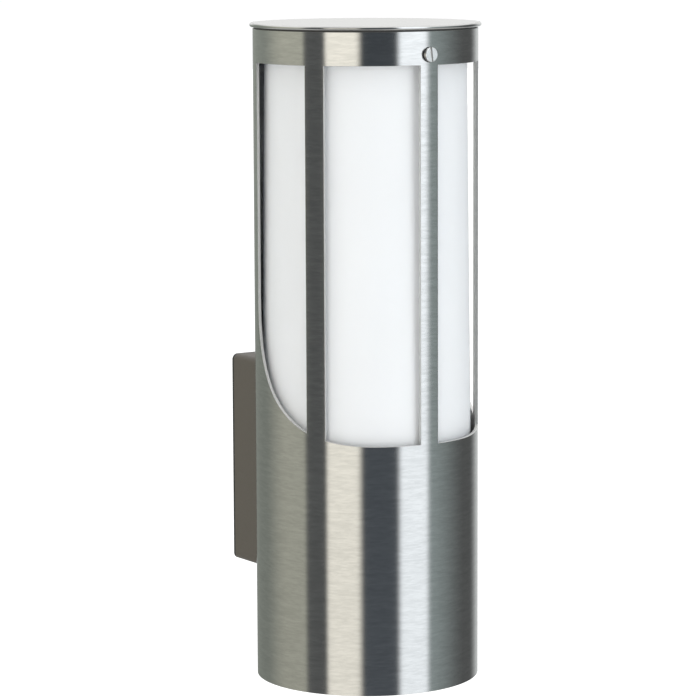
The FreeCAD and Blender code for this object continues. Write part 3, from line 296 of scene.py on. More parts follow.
@dataclass(frozen=True)
class Moulded(Finish):
    """A moulded, glazed or rubber surface: even colour, a grain in its roughness and a fine texture."""

    colour: Colour
    roughness: float
    texture: float = 0.00001
    grain: float = 900.0
    coat: float = 0.0
    sheen: float = 0.0

    def sockets(self, recipe: Recipe, point: Wire) -> Dict[str, Any]:
        """Noise of one scale varies the tone by a few percent, and a finer one raises the grain."""
        cloud = recipe.noise(point, (60.0, 60.0, 60.0), 3.0)
        grain = recipe.noise(point, (self.grain,) * 3, 3.0, 0.6)
        dark = tuple(value * 0.93 for value in self.colour) + (1.0,)
        return {
            "Base Color": recipe.blend(cloud * 0.5 + grain * 0.5, dark, (*self.colour, 1.0)),
            "Metallic": 0.0,
            "Roughness": self.roughness + (grain - 0.5) * 0.10 + (cloud - 0.5) * 0.06,
            "Coat Weight": self.coat,
            "Coat Roughness": 0.08,
            "Sheen Weight": self.sheen,
            "Normal": recipe.bump(grain, self.texture),
        }


@dataclass(frozen=True)
class Opal(Finish):
    """Opal plastic or frosted glass: white all through, with light spreading under a satin skin."""

    colour: Colour
    roughness: float
    depth: float
    through: float = 0.4

    def surface(self, recipe: Recipe) -> Wire:
        """A satin skin mixed with light that comes through the wall."""
        glow = recipe.node("ShaderNodeBsdfTranslucent", None, {"Color": (*self.colour, 1.0)})
        return recipe.wire(recipe.node("ShaderNodeMixShader", None, {
            0: self.through, 1: super().surface(recipe), 2: recipe.wire(glow)}))

    def sockets(self, recipe: Recipe, point: Wire) -> Dict[str, Any]:
        """Very faint clouds stand for small changes in the wall, and fine noise for the satin skin."""
        cloud = recipe.noise(point, (26.0, 26.0, 9.0), 2.0)
        skin = recipe.noise(point, (2200.0, 2200.0, 2200.0), 2.0)
        dark = tuple(value * 0.975 for value in self.colour) + (1.0,)
        return {
            "Base Color": recipe.blend(recipe.step(cloud, 0.3, 0.7), dark, (*self.colour, 1.0)),
            "Roughness": self.roughness + (skin - 0.5) * 0.08,
            "IOR": 1.49,
            "Subsurface Weight": 0.35,
            "Subsurface Radius": (1.0, 0.98, 0.95),
            "Subsurface Scale": self.depth,
            "Normal": recipe.bump(skin, 0.000004),
        }


@dataclass(frozen=True)
class Striped(Finish):
    """The green and yellow sleeve of an earth lead, in slanting bands."""

    colour: Colour
    stripe: Colour
    roughness: float

    def sockets(self, recipe: Recipe, point: Wire) -> Dict[str, Any]:
        """The bands are a sine of x + y + z, pushed to two flat tones."""
        x, y, z = recipe.parts(point)
        grain = recipe.noise(point, (1200.0, 1200.0, 1200.0), 2.0)
        wave = recipe.math("SINE", (x * 1.6 + y + z) * 900.0)
        return {
            "Base Color": recipe.blend(recipe.step(wave, -0.15, 0.15), (*self.colour, 1.0), (*self.stripe, 1.0)),
            "Roughness": self.roughness + (grain - 0.5) * 0.1,
            "Normal": recipe.bump(grain, 0.00001),
        }


TUBE_STEEL = BrushedSteel("brushed_tube_steel", (0.600, 0.598, 0.590), 0.17, Grain.AROUND, 0.85, 0.75)
INNER_STEEL = BrushedSteel("tube_inside_steel", (0.760, 0.750, 0.730), 0.34, Grain.AROUND, 0.0, 0.5, 0.5)
CUT_STEEL = BrushedSteel("cut_edge_steel", (0.720, 0.720, 0.710), 0.46, Grain.CLOUDY, 0.0, 0.5)
LID_STEEL = BrushedSteel("satin_lid_steel", (0.740, 0.740, 0.735), 0.26, Grain.ACROSS, 0.0, 0.12)
RIM_STEEL = BrushedSteel("satin_rim_steel", (0.640, 0.640, 0.635), 0.12, Grain.CLOUDY, 0.0, 0.3)
PLAIN_STEEL = BrushedSteel("plain_fastener_steel", (0.640, 0.640, 0.630), 0.28, Grain.CLOUDY, 0.0, 0.6)
LID_SCREW_STEEL = TurnedSteel("turned_screw_steel", (0.900, 0.900, 0.895), 0.30, (0.0, 0.209))
ZINC = PlatedSheet("zinc_plated_sheet", (0.600, 0.610, 0.620), 0.38, (0.540, 0.550, 0.558))
BRASS = PlatedSheet("plain_brass", (0.780, 0.570, 0.270), 0.26, (0.520, 0.340, 0.140))
TINNED = PlatedSheet("tinned_brass", (0.680, 0.670, 0.640), 0.34, (0.500, 0.470, 0.420))
NICKEL = PlatedSheet("nickel_cap", (0.700, 0.680, 0.640), 0.20, (0.560, 0.530, 0.480))
BOARD_METAL = PlatedSheet("board_aluminium", (0.800, 0.810, 0.820), 0.42, (0.680, 0.690, 0.700))
BLACK_SEAL = Moulded("black_seal_rubber", (0.016, 0.016, 0.017), 0.62, 0.00003, 700.0, 0.0, 0.05)
GREY_SILICONE = Moulded("grey_silicone", (0.480, 0.480, 0.460), 0.55, 0.00002, 500.0)
# Painted shadow: a near-black tone on the lid's grey silicone seal, standing in for the shade in the gap under the
# lid's rim.
SHADOW_LINE_SILICONE = Moulded("lid_seal_painted_shadow", (0.045, 0.045, 0.043), 0.50, 0.00002, 500.0)
BLACK_PLASTIC = Moulded("black_moulding", (0.028, 0.028, 0.030), 0.45, 0.00004, 650.0)
BLACK_GLASS = Moulded("black_insulator", (0.012, 0.012, 0.014), 0.12, 0.000004, 300.0, 0.5)
BOX_PAINT = Moulded("warm_grey_powder_coat", (0.086, 0.076, 0.063), 0.50, 0.00009, 1100.0)
PORCELAIN = Moulded("glazed_porcelain", (0.800, 0.780, 0.740), 0.16, 0.00001, 160.0, 0.6)
BLOCK_PLASTIC = Moulded("block_moulding", (0.720, 0.700, 0.640), 0.38, 0.00001, 500.0)
BULB_PLASTIC = Moulded("white_bulb_housing", (0.820, 0.820, 0.810), 0.30, 0.00001, 400.0, 0.2)
BROWN_SLEEVE = Moulded("brown_sleeve", (0.120, 0.045, 0.018), 0.36, 0.00001, 900.0)
BLUE_SLEEVE = Moulded("blue_sleeve", (0.020, 0.080, 0.330), 0.36, 0.00001, 900.0)
EARTH_SLEEVE = Striped("green_and_yellow_sleeve", (0.050, 0.280, 0.030), (0.750, 0.620, 0.040), 0.36)
DIFFUSER_OPAL = Opal("opal_diffuser_plastic", (0.900, 0.915, 0.935), 0.34, 0.004, 0.36)
FROSTED = Opal("frosted_bulb_dome", (0.900, 0.900, 0.890), 0.42, 0.003)


def dress(finish: Finish, *nodes: str) -> None:
    """Gives CAD nodes a finish.

    Args:
        finish: the finish.
        nodes: the nodes' names.
    """
    for name in nodes:
        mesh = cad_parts[name].data
        mesh.materials.clear()
        mesh.materials.append(finish.material())
        LOG.info("dressed %s in %s", name, finish.name)


def refinish(piece: bpy.types.Object, finishes: Sequence[Finish], chosen: np.ndarray) -> None:
    """Gives some faces of a piece another finish.

    Args:
        piece: the piece.
        finishes: the finishes that come after the piece's own, which is number 0.
        chosen: the number of each face's finish.
    """
    for finish in finishes:
        piece.data.materials.append(finish.material())
    piece.data.polygons.foreach_set("material_index", chosen.astype(np.int32))


def arc(centre: Tuple[float, float], radius: float, start: float, end: float, count: int) -> np.ndarray:
    """Points (radius, height) on a circle from one angle to another, in degrees: centre + r (cos a, sin a)."""
    angle = np.radians(np.linspace(start, end, count))
    return np.stack([centre[0] + radius * np.cos(angle), centre[1] + radius * np.sin(angle)], axis=1)


def lathe(name: str, profile: np.ndarray, turns: int, finish: Finish) -> bpy.types.Object:
    """Turns a profile about the tube's axis: point = (r cos t, axis y + r sin t, z).

    Args:
        name: the piece's name.
        profile: rows of (radius, height) in millimetres, whose first and last rows lie on the axis. It runs from
            the top's middle, out and down, to the underside's middle, so that the faces point outwards.
        turns: how many steps one turn has.
        finish: the piece's finish.

    Returns:
        The piece, as one closed mesh with a single point at each pole.
    """
    rows = profile[1:-1] * MM
    angle = np.linspace(0.0, 2.0 * math.pi, turns, endpoint=False)
    x = AXIS[0] + rows[:, :1] * np.cos(angle)
    y = AXIS[1] + rows[:, :1] * np.sin(angle)
    z = np.broadcast_to(rows[:, 1:], x.shape)
    body = np.stack([x, y, z], axis=2).reshape(-1, 3)
    poles = np.array([[*AXIS, profile[0, 1] * MM], [*AXIS, profile[-1, 1] * MM]])
    points = np.concatenate([body, poles])
    ring = np.arange(turns)
    following = np.roll(ring, -1)
    start = np.arange(len(rows) - 1)[:, None] * turns
    quads = np.stack([start + ring, start + turns + ring, start + turns + following, start + following], axis=2)
    last = (len(rows) - 1) * turns
    top = np.stack([np.full(turns, len(body)), ring, following], axis=1)
    foot = np.stack([np.full(turns, len(body) + 1), last + following, last + ring], axis=1)
    mesh = bpy.data.meshes.new(name)
    mesh.from_pydata(points.tolist(), [], quads.reshape(-1, 4).tolist() + top.tolist() + foot.tolist())
    mesh.shade_smooth()
    mesh.set_sharp_from_angle(angle=math.radians(40.0))
    mesh.materials.append(finish.material())
    piece = bpy.data.objects.new(name, mesh)
    bpy.context.scene.collection.objects.link(piece)
    return piece


def settle(piece: bpy.types.Object, body: str, slot: str, *nodes: str) -> None:
    """Hangs a new piece on its body and lets it stand for CAD nodes.

    Args:
        piece: the new piece.
        body: the CAD body that it moves with.
        slot: the name of the material slot that the piece stands for; not used.
        nodes: the CAD nodes that it replaces.
    """
    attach(piece, body)
    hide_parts(*nodes)
    LOG.info("made %s for %s on body %s", piece.name, ", ".join(nodes), body)


@dataclass
class TubeAndFoot:
    """The brushed tube with its four windows, and the drain cap in its foot. Sizes in millimetres."""

    radius: float = 55.0
    wall: float = 1.5
    foot_z: float = -100.0
    top_z: float = 220.0
    window_top_z: float = 204.0
    window_low_z: float = 22.0
    sweep: float = 66.0
    sweep_start: float = 50.0
    bar_half: float = 5.0
    bar_angle: float = 60.0
    edge: float = 0.12
    # Each hole's radius, its height, and the side of the tube that it is in: -1 in front, 1 at the rear.
    holes: Tuple[Tuple[float, float, float], ...] = (
        (2.05, 209.0, -1.0), (2.7, 2.0, 1.0), (2.7, -42.0, 1.0), (6.0, -20.0, 1.0))

    def low_edge(self, reach: np.ndarray) -> np.ndarray:
        """The windows' lower edge: level near the front, then up a quarter circle of the sweep's radius."""
        run = np.clip(self.sweep_start - reach, 0.0, self.sweep)
        return self.window_low_z + self.sweep - np.sqrt(self.sweep ** 2 - run ** 2)

    def breaks(self, radius: float) -> np.ndarray:
        """The angles, in degrees, at which a window starts or ends on a surface of this radius."""
        half = math.degrees(math.asin(self.bar_half / radius))
        rear = math.degrees(math.acos((self.sweep_start - self.sweep) / radius))
        side = np.array([half, self.bar_angle - half, self.bar_angle + half, rear, 180.0])
        return np.concatenate([-side[::-1], side])

    def columns(self) -> np.ndarray:
        """The angles of the mesh's columns outside: even steps, closer ones up the sweep, and every break."""
        breaks = self.breaks(self.radius)
        turn = np.radians(np.concatenate([np.arange(0.0, 84.0, 2.0), [86.5]]))
        sweep = np.degrees(np.arccos((self.sweep_start - self.sweep * np.sin(turn)) / self.radius))
        front = np.arange(0.0, sweep[0] - 0.5, 1.4)
        rear = np.linspace(breaks[-2], 180.0, 50)[1:-1]
        half = np.concatenate([front, sweep, rear])
        every = np.concatenate([-half[:0:-1], half])
        gap = np.abs(every[:, None] - breaks[None, :]).min(axis=1)
        return np.sort(np.concatenate([every[gap > 0.22], breaks[:-1]]))

    def surface(self, radius: float) -> np.ndarray:
        """One wall surface: (r sin t, axis y - r cos t, z), where rows follow the foot, the windows and the top."""
        angle = np.interp(self.columns(), self.breaks(self.radius), self.breaks(radius))
        turn = np.radians(angle)
        low = self.low_edge(radius * np.cos(turn))
        rise = np.concatenate([
            self.foot_z + np.linspace(0.0, 1.0, 11)[:-1, None] * (low - self.foot_z),
            low + np.linspace(0.0, 1.0, 13)[:-1, None] * (self.window_top_z - low),
            np.repeat(np.linspace(self.window_top_z, self.top_z, 4)[:, None], len(turn), axis=1)])
        x = np.broadcast_to(radius * np.sin(turn), rise.shape)
        y = np.broadcast_to(AXIS[1] / MM - radius * np.cos(turn), rise.shape)
        return np.stack([x, y, rise], axis=2) * MM

    def tube(self) -> bpy.types.Object:
        """Makes the tube: two surfaces with the windows left out, joined along every rim."""
        outside, inside = self.surface(self.radius), self.surface(self.radius - self.wall)
        rows, turns = outside.shape[:2]
        middle = self.columns()
        middle = (middle + np.append(middle[1:], middle[0] + 360.0)) / 2.0
        edges = self.breaks(self.radius)
        cell = np.searchsorted(edges, middle) - 1
        opened = np.isin(cell, (1, 3, 5, 7))
        solid = np.ones((rows - 1, turns), dtype=bool)
        solid[10:22, opened] = False
        index = np.arange(rows * turns).reshape(rows, turns)
        after = np.roll(index, -1, axis=1)
        shift = rows * turns
        wall = np.stack([index[:-1], after[:-1], after[1:], index[1:]], axis=2)[solid]
        quads = [wall, wall[:, ::-1] + shift]
        padded = np.pad(solid, ((1, 1), (0, 0)))
        for upward in (True, False):
            i, j = np.nonzero((padded[1:] & ~padded[:-1]) if upward else (padded[:-1] & ~padded[1:]))
            rim = np.stack([index[i, j], index[i, j] + shift, after[i, j] + shift, after[i, j]], axis=1)
            quads.append(rim if upward else rim[:, ::-1])
        before = np.roll(solid, 1, axis=1)
        for starts in (True, False):
            i, j = np.nonzero((solid & ~before) if starts else (before & ~solid))
            rim = np.stack([index[i, j], index[i + 1, j], index[i + 1, j] + shift, index[i, j] + shift], axis=1)
            quads.append(rim if starts else rim[:, ::-1])
        points = np.concatenate([outside.reshape(-1, 3), inside.reshape(-1, 3)])
        faces = np.concatenate(quads)
        finish = np.full(len(faces), 2)
        finish[:2 * len(wall)] = np.repeat([0, 1], len(wall))
        used, faces = np.unique(faces, return_inverse=True)
        mesh = bpy.data.meshes.new("tube_shell")
        mesh.from_pydata(points[used].tolist(), [], faces.reshape(-1, 4).tolist())
        mesh.shade_smooth()
        mesh.set_sharp_from_angle(angle=math.radians(35.0))
        mesh.materials.append(TUBE_STEEL.material())
        tube = bpy.data.objects.new("tube_shell", mesh)
        bpy.context.scene.collection.objects.link(tube)
        refinish(tube, (INNER_STEEL, CUT_STEEL), finish)
        bevel = tube.modifiers.new("edges", "BEVEL")
        bevel.width = self.edge * MM
        bevel.segments = 2
        bevel.limit_method = "ANGLE"
        bevel.angle_limit = math.radians(50.0)
        return tube

    def hole_cutter(self, sides: int = 48) -> bpy.types.Object:
        """A rod through the wall for each hole: points (r cos t, y, z + r sin t) at both ends."""
        turn = np.linspace(0.0, 2.0 * math.pi, sides, endpoint=False)
        ring = np.arange(sides)
        points: List[np.ndarray] = []
        faces: List[List[int]] = []
        for radius, height, side in self.holes:
            start = sides * len(points)
            for reach in (0.75, 1.25):
                y = np.full(sides, AXIS[1] / MM + side * reach * self.radius)
                points.append(np.stack([radius * np.cos(turn), y, height + radius * np.sin(turn)], axis=1) * MM)
            near, far = start + ring, start + sides + ring
            if side < 0:
                near, far = far, near
            faces += np.stack([near, np.roll(near, -1), np.roll(far, -1), far], axis=1).tolist()
            faces += [near[::-1].tolist(), far.tolist()]
        mesh = bpy.data.meshes.new("hole_cutter")
        mesh.from_pydata(np.concatenate(points).tolist(), [], faces)
        cutter = bpy.data.objects.new("hole_cutter", mesh)
        bpy.context.scene.collection.objects.link(cutter)
        return cutter

    def drill(self, tube: bpy.types.Object) -> None:
        """Cuts the holes, and keeps the result as the tube's own mesh."""
        cutter = self.hole_cutter()
        cut = tube.modifiers.new("holes", "BOOLEAN")
        cut.operation = "DIFFERENCE"
        cut.solver = "EXACT"
        cut.object = cutter
        plain = tube.data
        drilled = bpy.data.meshes.new_from_object(tube.evaluated_get(bpy.context.evaluated_depsgraph_get()))
        tube.modifiers.clear()
        tube.data = drilled
        for spent in (plain, cutter.data):
            bpy.data.meshes.remove(spent)
        drilled.name = "tube_shell"
        drilled.set_sharp_from_angle(angle=math.radians(50.0))
        shading = tube.modifiers.new("shading", "WEIGHTED_NORMAL")
        shading.keep_sharp = True
        shading.weight = 100
        LOG.info("drilled %d holes; the tube has %d faces", len(self.holes), len(drilled.polygons))

    def build(self) -> None:
        """Makes the tube and dresses its cap."""
        tube = self.tube()
        self.drill(tube)
        settle(tube, "light", "brushed_tube", "tube_body")
        dress(BLACK_PLASTIC, "bottom_cap")


@dataclass
class Lid:
    """The flat lid with its spigot, seal, pad and screw. Sizes in millimetres."""

    radius: float = 56.5
    under_z: float = 220.8
    top_z: float = 222.8
    edge: float = 0.97
    turns: int = 288
    # Faces whose normal's z is below this belong to the rim.
    rim_slope: float = 0.97

    def profile(self) -> np.ndarray:
        """The disc's outline: two flat faces joined by a rim with two rounds."""
        inner = self.radius - self.edge
        flat = np.array([0.0, 1.0, 8.0, 24.0, 40.0, 50.0, 54.5, 55.6])
        top = np.stack([flat, np.full(flat.shape, self.top_z)], axis=1)
        under = np.stack([flat[::-1], np.full(flat.shape, self.under_z)], axis=1)
        upper = arc((inner, self.top_z - self.edge), self.edge, 90.0, 0.0, 6)
        lower = arc((inner, self.under_z + self.edge), self.edge, 0.0, -90.0, 6)
        return np.concatenate([top, upper, lower, under])

    def build(self) -> None:
        """Makes the disc and dresses what hangs on it."""
        disc = lathe("lid_disc", self.profile(), self.turns, LID_STEEL)
        slope = np.empty(3 * len(disc.data.polygons))
        disc.data.polygons.foreach_get("normal", slope)
        refinish(disc, (RIM_STEEL,), np.abs(slope[2::3]) < self.rim_slope)
        settle(disc, "lid", "lid_steel", "top_lid")
        dress(LID_STEEL, "lid_spigot")
        dress(BLACK_SEAL, "lid_screw_washer")
        # The lid seal is dressed near-black as painted shadow for the shaded gap under the lid's rim.
        dress(SHADOW_LINE_SILICONE, "lid_gasket")
        dress(GREY_SILICONE, "lid_pad")
        dress(LID_SCREW_STEEL, "lid_screw")


@dataclass
class Diffuser:
    """The opal diffuser: a hollow cylinder that narrows upwards under a domed corner. Sizes in millimetres."""

    foot_radius: float = 51.4
    top_radius: float = 49.4
    foot_z: float = 16.0
    top_z: float = 216.8
    wall: float = 3.0
    corner: float = 8.0
    foot_round: float = 1.0
    turns: int = 240

    def side(self, z: np.ndarray) -> np.ndarray:
        """The outer radius at each height, which falls evenly from foot to top."""
        share = (z - self.foot_z) / (self.top_z - self.foot_z)
        return self.foot_radius + share * (self.top_radius - self.foot_radius)

    def profile(self) -> np.ndarray:
        """The outline down the outside, round the foot and up the inside; each corner's arc touches the side."""
        slope = math.degrees(math.atan2(self.foot_radius - self.top_radius, self.top_z - self.foot_z))
        centre_z = self.top_z - self.corner
        tilt = math.cos(math.radians(slope))
        outer_r = float(self.side(np.array(centre_z))) - self.corner / tilt
        inner_corner = self.corner - self.wall
        inner_r = float(self.side(np.array(centre_z))) - self.wall - inner_corner / tilt
        flat = np.array([0.0, 1.0, 8.0, 20.0, 32.0])
        top = np.stack([flat, np.full(flat.shape, self.top_z)], axis=1)
        roof = np.stack([flat[::-1], np.full(flat.shape, self.top_z - self.wall)], axis=1)
        down = np.linspace(centre_z - 6.0, self.foot_z + self.foot_round + 1.0, 22)
        outside = np.stack([self.side(down), down], axis=1)
        inside = np.stack([self.side(down[::-1]) - self.wall, down[::-1]], axis=1)
        foot = arc((self.foot_radius - self.foot_round, self.foot_z + self.foot_round), self.foot_round,
                   0.0, -90.0, 7)
        heel = np.array([[self.foot_radius - self.wall, self.foot_z]])
        return np.concatenate([
            top, arc((outer_r, centre_z), self.corner, 90.0, slope, 14), outside, foot, heel, inside,
            arc((inner_r, centre_z), inner_corner, slope, 90.0, 10), roof])

    def build(self) -> None:
        """Makes the diffuser and dresses the ring that it stands on."""
        shade = lathe("diffuser_shell", self.profile(), self.turns, DIFFUSER_OPAL)
        settle(shade, "diffuser", "opal", "opal_diffuser")
        dress(GREY_SILICONE, "diffuser_gasket")


@dataclass
class LampGear:
    """The bracket, the lampholder and the bulb inside the diffuser."""

    def build(self) -> None:
        """Dresses each node of the gear."""
        dress(ZINC, "gear_bracket")
        dress(PORCELAIN, "lampholder_body")
        dress(BRASS, "lampholder_shell", "lampholder_centre_contact", "lampholder_terminals", "bulb_contact")
        dress(PLAIN_STEEL, "lampholder_terminal_screws", "lampholder_screws", "earth_screw", "earth_nut")
        dress(FROSTED, "bulb_dome")
        dress(BULB_PLASTIC, "bulb_body")
        dress(BOARD_METAL, "bulb_board")
        dress(NICKEL, "bulb_cap")
        dress(BLACK_GLASS, "bulb_insulator")
        dress(TINNED, "earth_tag")


@dataclass
class WallBox:
    """The cast box behind the tube, its seals and plate, and the wires and terminals in it."""

    def build(self) -> None:
        """Dresses each node of the box."""
        dress(BOX_PAINT, "wall_box")
        dress(BLACK_SEAL, "box_gasket", "wall_gasket", "cable_grommet", "lead_bush")
        dress(PLAIN_STEEL, "box_screws", "tube_screws", "tube_washers", "terminal_clamp_screws",
              "terminal_block_screws")
        dress(ZINC, "wall_plate")
        dress(BLOCK_PLASTIC, "terminal_block")
        dress(BRASS, "terminal_clamps")
        dress(BROWN_SLEEVE, "live_lead")
        dress(BLUE_SLEEVE, "neutral_lead")
        dress(EARTH_SLEEVE, "earth_lead")


@dataclass(frozen=True)
class View:
    """The camera, fitted to the tube's outlines. Angles in degrees, lengths in metres."""

    bearing: float = 33.5227
    distance: float = 1.61009
    height: float = 0.38291
    yaw: float = -0.289
    pitch: float = 7.826
    roll: float = -0.241
    lens: float = 169.34

    def build(self) -> None:
        """Makes the camera from its bearing round the tube's foot and its yaw, pitch and roll."""
        bearing = math.radians(self.bearing)
        heading = math.radians(self.bearing + self.yaw)
        pitch = math.radians(self.pitch)
        roll = math.radians(self.roll)
        forward = np.array([math.sin(heading) * math.cos(pitch), math.cos(heading) * math.cos(pitch),
                            -math.sin(pitch)])
        level = np.array([math.cos(heading), -math.sin(heading), 0.0])
        upright = np.cross(level, forward)
        right = level * math.cos(roll) + upright * math.sin(roll)
        up = upright * math.cos(roll) - level * math.sin(roll)
        place = np.array([-self.distance * math.sin(bearing), AXIS[1] - self.distance * math.cos(bearing),
                          FOOT_Z + self.height])
        matrix = Matrix.Identity(4)
        for row in range(3):
            matrix[row][0], matrix[row][1], matrix[row][2], matrix[row][3] = (
                right[row], up[row], -forward[row], place[row])
        data = bpy.data.cameras.new("photo_view")
        data.sensor_width = 36.0
        data.lens = self.lens
        data.clip_start = 0.01
        data.clip_end = 100.0
        camera = bpy.data.objects.new("photo_view", data)
        bpy.context.scene.collection.objects.link(camera)
        camera.matrix_world = matrix
        bpy.context.scene.camera = camera


@dataclass(frozen=True)
class SoftLight:
    """One large soft lamp. It lights the surfaces, and the room's cards give the reflections."""

    name: str
    bearing: float
    height: float
    distance: float
    size: Tuple[float, float]
    power: float
    colour: Colour

    def build(self) -> None:
        """Puts the lamp on a circle round the tube, bearing degrees to the camera's right, facing the tube."""
        data = bpy.data.lights.new(self.name, "AREA")
        data.shape = "RECTANGLE"
        data.size, data.size_y = self.size
        data.energy = self.power
        data.color = self.colour
        lamp = bpy.data.objects.new(self.name, data)
        bpy.context.scene.collection.objects.link(lamp)
        angle = math.radians(ROOM_TURN - self.bearing)
        place = np.array([AXIS[0] - self.distance * math.sin(angle), AXIS[1] - self.distance * math.cos(angle),
                          self.height])
        away = place - np.array([AXIS[0], AXIS[1], 0.10])
        away /= np.linalg.norm(away)
        side = np.cross([0.0, 0.0, 1.0], away) if abs(away[2]) < 0.99 else np.array([1.0, 0.0, 0.0])
        side /= np.linalg.norm(side)
        top = np.cross(away, side)
        matrix = Matrix.Identity(4)
        for row in range(3):
            matrix[row][0], matrix[row][1], matrix[row][2], matrix[row][3] = (
                side[row], top[row], away[row], place[row])
        lamp.matrix_world = matrix
        lamp.visible_glossy = False
        lamp.visible_camera = False


# Heights in the room are sines of elevations. Between the two of NEAR_HORIZON a card takes on its near colour, and
# CARD_FADE is how softly its top ends.
NEAR_HORIZON = (-0.15, -0.03)
CARD_FADE = 0.055


@dataclass(frozen=True)
class Card:
    """One wall, soft box or gap of the room, as the tube reflects it.

    Its ends are given in degrees to the camera's right, and each fades over its own number of degrees. Near the
    horizon its colour is multiplied by near, and it ends at top, the sine of an elevation.
    """

    name: str
    start: float
    end: float
    fade_in: float
    fade_out: float
    colour: Colour
    near: float = 1.0
    top: float = 2.0

    def cover(self, recipe: Recipe, bearing: Wire) -> Wire:
        """How far the card covers each bearing, from 0 to 1."""
        middle = (self.start + self.end) / 2.0
        half = (self.end - self.start) / 2.0
        offset = recipe.math("WRAP", bearing - middle, 180.0, -180.0)
        return (recipe.step(offset, -half - self.fade_in / 2.0, -half + self.fade_in / 2.0)
                * recipe.step(offset, half + self.fade_out / 2.0, half - self.fade_out / 2.0))

    def over(self, recipe: Recipe, room: Any, bearing: Wire, height: Wire) -> Wire:
        """The room's colour with the card in front of it; height is the sine of the elevation."""
        beside = tuple(value * self.near for value in self.colour)
        tint = recipe.blend(recipe.step(height, *NEAR_HORIZON), (*self.colour, 1.0), (*beside, 1.0))
        share = self.cover(recipe, bearing) * recipe.step(height, self.top, self.top - CARD_FADE)
        return recipe.blend(share, room, tint)


# What stands round the light, each in front of those before it.
ROOM_CARDS = (
    Card("rear_wall", 147.0, 193.0, 28.0, 14.0, (0.60, 0.62, 0.62), 1.15),
    Card("left_corner", -167.0, -95.0, 14.0, 30.0, (0.25, 0.27, 0.24), 1.3),
    Card("left_wall", -110.0, -65.5, 40.0, 7.0, (0.47, 0.475, 0.40), 1.3),
    Card("warm_soft_box", -41.4, -6.0, 5.0, 10.0, (1.22, 1.18, 1.06), 1.30, 0.16),
    Card("slate_gap", -3.0, 31.0, 6.0, 4.0, (0.095, 0.110, 0.128), 0.60),
    Card("right_wall", 66.0, 92.0, 6.0, 60.0, (0.35, 0.41, 0.41), 1.03),
    Card("cool_soft_box", 33.8, 66.2, 8.0, 8.0, (1.30, 1.37, 1.43), 1.20),
)
# The dark above the warm soft box, the pale wall behind the light, and the part of the front that stays dark longer.
FRONT_SHADE = Card("front_shade", -65.0, 32.0, 6.0, 6.0, (0.11, 0.12, 0.12))
HIGH_REAR = Card("high_rear", 150.0, 205.0, 20.0, 20.0, (0.90, 0.90, 0.89))
TALL_FRONT = Card("tall_front", -65.0, 67.0, 6.0, 6.0, (0.0, 0.0, 0.0))


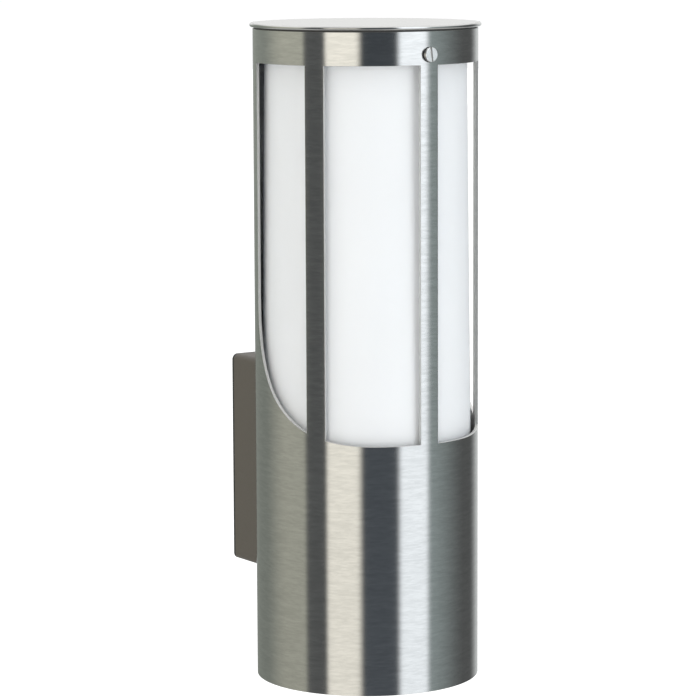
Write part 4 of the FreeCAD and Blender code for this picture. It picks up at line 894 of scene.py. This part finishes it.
@dataclass
class Studio:
    """A pale floor, a room of walls and soft boxes that the steel reflects, and soft lamps."""

    floor_z: float = -0.42
    floor_radius: float = 12.0
    glow: float = 1.02
    dark: Colour = (0.115, 0.120, 0.120)
    floor_glow: Colour = (0.55, 0.55, 0.54)
    front_ground: Colour = (0.30, 0.30, 0.30)
    overhead: Colour = (1.15, 1.15, 1.14)

    # The heights at which the rear, the shade, the overhead light and the ground start and are full.
    rear_rise: Tuple[float, float] = (-0.03, 0.10)
    shade_rise: Tuple[float, float] = (0.14, 0.22)
    overhead_rise: Tuple[float, float] = (0.25, 0.55)
    front_delay: float = 0.30
    ground_fall: Tuple[float, float] = (-0.35, -0.60)

    def build_floor(self, rings: int = 14, sides: int = 64) -> None:
        """The floor: a disc of rings, r = R s squared, in a pale matt finish."""
        share = np.linspace(0.05, 1.0, rings)[:, None] ** 2
        angle = np.linspace(0.0, 2.0 * math.pi, sides, endpoint=False)[None, :]
        x = self.floor_radius * share * np.cos(angle)
        y = self.floor_radius * share * np.sin(angle)
        points = np.stack([x, y, np.full(x.shape, self.floor_z)], axis=2).reshape(-1, 3)
        ring = np.arange(sides)
        following = np.roll(ring, -1)
        start = np.arange(rings - 1)[:, None] * sides
        quads = np.stack([start + ring, start + sides + ring, start + sides + following, start + following],
                         axis=2).reshape(-1, 4)
        mesh = bpy.data.meshes.new("pale_floor")
        mesh.from_pydata(points.tolist(), [], quads.tolist() + [ring.tolist()])
        material = bpy.data.materials.new("pale_floor")
        material.use_nodes = True
        recipe = Recipe(material.node_tree)
        cloud = recipe.noise(recipe.place(), (3.0, 3.0, 3.0), 2.0)
        shader = recipe.node("ShaderNodeBsdfPrincipled", None, {
            "Base Color": recipe.blend(cloud, (0.88, 0.88, 0.875, 1.0), (0.90, 0.90, 0.895, 1.0)),
            "Roughness": 0.9, "Emission Color": (1.0, 1.0, 1.0, 1.0), "Emission Strength": 0.35})
        recipe.node("ShaderNodeOutputMaterial", None, {"Surface": recipe.wire(shader)})
        mesh.materials.append(material)
        floor = bpy.data.objects.new("pale_floor", mesh)
        bpy.context.scene.collection.objects.link(floor)
        floor.visible_glossy = False

    def build_room(self) -> None:
        """The room as the world: its cards by bearing, pale above and behind them, white to look at."""
        world = bpy.data.worlds.new("pale_studio")
        bpy.context.scene.world = world
        world.use_nodes = True
        recipe = Recipe(world.node_tree)
        toward = recipe.wire(recipe.node("ShaderNodeTexCoord"), "Generated")
        x, y, z = recipe.parts(toward)
        turn = math.radians(ROOM_TURN)
        ahead = x * -math.sin(turn) + y * -math.cos(turn)
        right = x * math.cos(turn) + y * -math.sin(turn)
        bearing = recipe.math("ARCTAN2", right, ahead) * (180.0 / math.pi)
        room: Any = (*self.dark, 1.0)
        for card in ROOM_CARDS:
            room = card.over(recipe, room, bearing, z)
        rear = HIGH_REAR.cover(recipe, bearing) * recipe.step(z, *self.rear_rise)
        room = recipe.blend(rear, room, (*HIGH_REAR.colour, 1.0))
        shade = FRONT_SHADE.cover(recipe, bearing)
        room = recipe.blend(shade * recipe.step(z, *self.shade_rise), room, (*FRONT_SHADE.colour, 1.0))
        height = z - TALL_FRONT.cover(recipe, bearing) * self.front_delay
        room = recipe.blend(recipe.step(height, *self.overhead_rise), room, (*self.overhead, 1.0))
        ground = recipe.blend(shade, (*self.floor_glow, 1.0), (*self.front_ground, 1.0))
        room = recipe.blend(recipe.step(z, *self.ground_fall), room, ground)
        seen = recipe.wire(recipe.node("ShaderNodeLightPath"), "Is Camera Ray")
        shown = recipe.blend(seen, room, (self.glow, self.glow, self.glow, 1.0))
        back = recipe.node("ShaderNodeBackground", None, {"Color": shown, "Strength": 1.0})
        recipe.node("ShaderNodeOutputWorld", None, {"Surface": recipe.wire(back)})

    def build(self) -> None:
        """Builds the floor, the room and the lamps, and shows the light as it is."""
        self.build_floor()
        self.build_room()
        for lamp in (SoftLight("left_soft_lamp", -28.0, 0.55, 2.0, (1.4, 1.6), 12.5, (1.0, 0.955, 0.88)),
                     SoftLight("right_soft_lamp", 48.0, 0.45, 2.0, (1.2, 1.6), 10.5, (0.95, 0.98, 1.0)),
                     SoftLight("top_soft_lamp", 0.0, 2.0, 0.3, (1.6, 1.6), 9.5, (1.0, 1.0, 1.0))):
            lamp.build()
        settings = bpy.context.scene.view_settings
        settings.view_transform = "Standard"
        settings.look = "None"


def main() -> None:
    """Builds the camera, the light's sub-assemblies and the studio."""
    logging.basicConfig(level=logging.INFO, format="%(name)s: %(message)s")
    View().build()
    for assembly in (TubeAndFoot(), Lid(), Diffuser(), LampGear(), WallBox(), Studio()):
        LOG.info("building %s", type(assembly).__name__)
        assembly.build()


if __name__ == "__main__":
    main()
